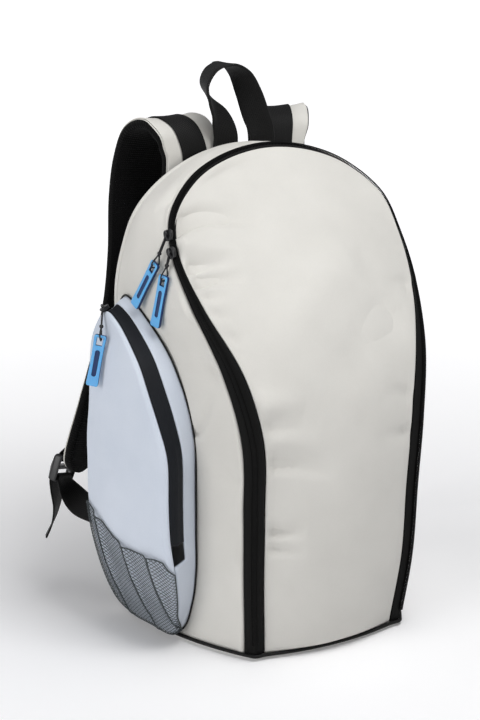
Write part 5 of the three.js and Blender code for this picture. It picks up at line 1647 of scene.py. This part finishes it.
def make_buckles():
    half = BUCKLE_HALF + BUCKLE_CHEEK
    foot = half - BUCKLE_TAPER
    end = BUCKLE_LENGTH
    right = [(half - BUCKLE_CORNER, 0)]
    right += bend(right[-1], (half, 0), (half, BUCKLE_CORNER))
    right.append((foot, end - BUCKLE_FOOT_CORNER))
    right += bend(right[-1], (foot, end), (foot - BUCKLE_FOOT_CORNER, end), 3)
    left = [(-half + BUCKLE_CORNER, 0)]
    after = [(-foot + BUCKLE_FOOT_CORNER, end)]
    after += bend(after[-1], (-foot, end), (-foot, end - BUCKLE_FOOT_CORNER), 3)
    after.append((-half, BUCKLE_CORNER))
    after += bend(after[-1], (-half, 0), left[0])[:-1]
    outline = left + right + after
    slots = []
    for row in (0, 1):
        low = BUCKLE_BAR + row * (BUCKLE_BAR + BUCKLE_SLOT)
        high = low + BUCKLE_SLOT
        slots.append([(-BUCKLE_HALF, low), (-BUCKLE_HALF, high), (BUCKLE_HALF, high), (BUCKLE_HALF, low)])
    origin = from_strap_end(BUCKLE_DROP, 0, BUCKLE_OUT)
    for side, hand in (("left", 1), ("right", -1)):
        flip = np.array([hand, 1, 1])
        axes = (origin * flip, STRAP_END["sideways"] * flip, STRAP_END["along"] * flip)
        plate(f"buckle_{side}", [outline, *slots], BUCKLE_BAR, BUCKLE_ROUNDING, axes, BLACK_PLASTIC,
              "black_plastic", [f"strap_buckle_{side}"],
              rise=lambda across, down, out: buckle_rise(across, down, out * hand))


# The camera, the floor and the light

CAMERA_AZIMUTH = -30
CAMERA_ELEVATION = 18
CAMERA_DISTANCE = 1700
PHOTO_FOCUS = (0, 45, 207)
PHOTO_FOCAL = 1000
BAG_ASIDE = (114 - 125, 345 - 360)
ENLARGED = 1.83
PICTURE_HEIGHT = 720
SENSOR = 36


def look(thing, place, target):
    thing.location = Vector(place) * MM
    thing.rotation_euler = (Vector(target) - Vector(place)).to_track_quat("-Z", "Y").to_euler()
    bpy.context.scene.collection.objects.link(thing)
    return thing


def make_camera():
    azimuth = math.radians(CAMERA_AZIMUTH)
    elevation = math.radians(CAMERA_ELEVATION)
    level = math.cos(elevation)
    back = Vector((math.sin(azimuth) * level, -math.cos(azimuth) * level, math.sin(elevation)))
    right = Vector((math.cos(azimuth), math.sin(azimuth), 0))
    up = back.cross(right)
    place = Vector(PHOTO_FOCUS) + back * CAMERA_DISTANCE
    aside = right * BAG_ASIDE[0] - up * BAG_ASIDE[1]
    target = Vector(PHOTO_FOCUS) + aside * CAMERA_DISTANCE / PHOTO_FOCAL
    camera = bpy.data.cameras.new("camera")
    camera.sensor_width = SENSOR
    camera.lens = PHOTO_FOCAL * ENLARGED * SENSOR / PICTURE_HEIGHT
    bpy.context.scene.camera = look(bpy.data.objects.new("camera", camera), place, target)


def make_light(name, place, strength, spread, shade=(1, 1, 1)):
    """A large soft light from a direction, as wide as its spread in degrees."""
    light = bpy.data.lights.new(name, "SUN")
    light.energy = strength
    light.angle = math.radians(spread)
    light.color = shade
    look(bpy.data.objects.new(name, light), place, (0, 0, 200))


def make_softbox(place, width, power):
    """A square lamp near the bag, whose light falls off towards the bag's foot."""
    light = bpy.data.lights.new("softbox", "AREA")
    light.size = width * MM
    light.energy = power
    look(bpy.data.objects.new("softbox", light), place, (0, 0, 300))


# The floor's half width in metres, and its glow at a near and a far distance from the bag.
FLOOR_REACH = 30
FLOOR_GLOW = {"From_Min": 0.25, "From_Max": 1.3, "To_Min": 0.1, "To_Max": 0.6}


def make_studio():
    mesh = bpy.data.meshes.new("floor")
    corners = [(-1, -1), (1, -1), (1, 1), (-1, 1)]
    mesh.from_pydata([(x * FLOOR_REACH, y * FLOOR_REACH, 0) for x, y in corners], [], [(0, 1, 2, 3)])
    floor = bpy.data.objects.new("floor", mesh)
    bpy.context.scene.collection.objects.link(floor)
    shader = Shader("pale_floor", colour(246, 246, 247), 0.9, Specular_IOR_Level=0.1)
    # Away from the bag the floor glows a little, as a floor does that is lit evenly to its far end.
    distance = shader.node("VectorMath", Vector=shader.place("Object"))
    distance.operation = "LENGTH"
    glow = shader.node("MapRange", Value=distance.outputs["Value"], **FLOOR_GLOW)
    shader.feed(shader.surface, "Emission Color", (1, 1, 1, 1))
    shader.feed(shader.surface, "Emission Strength", glow.outputs[0])
    mesh.materials.append(shader.material)
    world = bpy.data.worlds.new("studio")
    world.use_nodes = True
    world.node_tree.nodes["Background"].inputs["Color"].default_value = (0.95, 0.95, 1, 1)
    world.node_tree.nodes["Background"].inputs["Strength"].default_value = 0.17
    bpy.context.scene.world = world
    bpy.context.scene.view_settings.view_transform = "Standard"
    make_light("top", (300, -300, 2500), 0.7, 40)
    make_light("left", (-2000, -300, 900), 1.3, 40)
    make_softbox((100, -500, 1250), 500, 7)


make_camera()
make_studio()
make_side()
make_door()
make_zip_tape()
make_coil()
make_back()
make_base()
make_base_piping()
make_pocket_panel()
make_pocket_wall()
make_pocket_zip()
make_pocket_piping()
make_net()
make_straps()
make_buckle_loop()
make_lower_webbing()
make_handle()
make_buckles()
hang_main_pulls()
hang_pocket_pull()
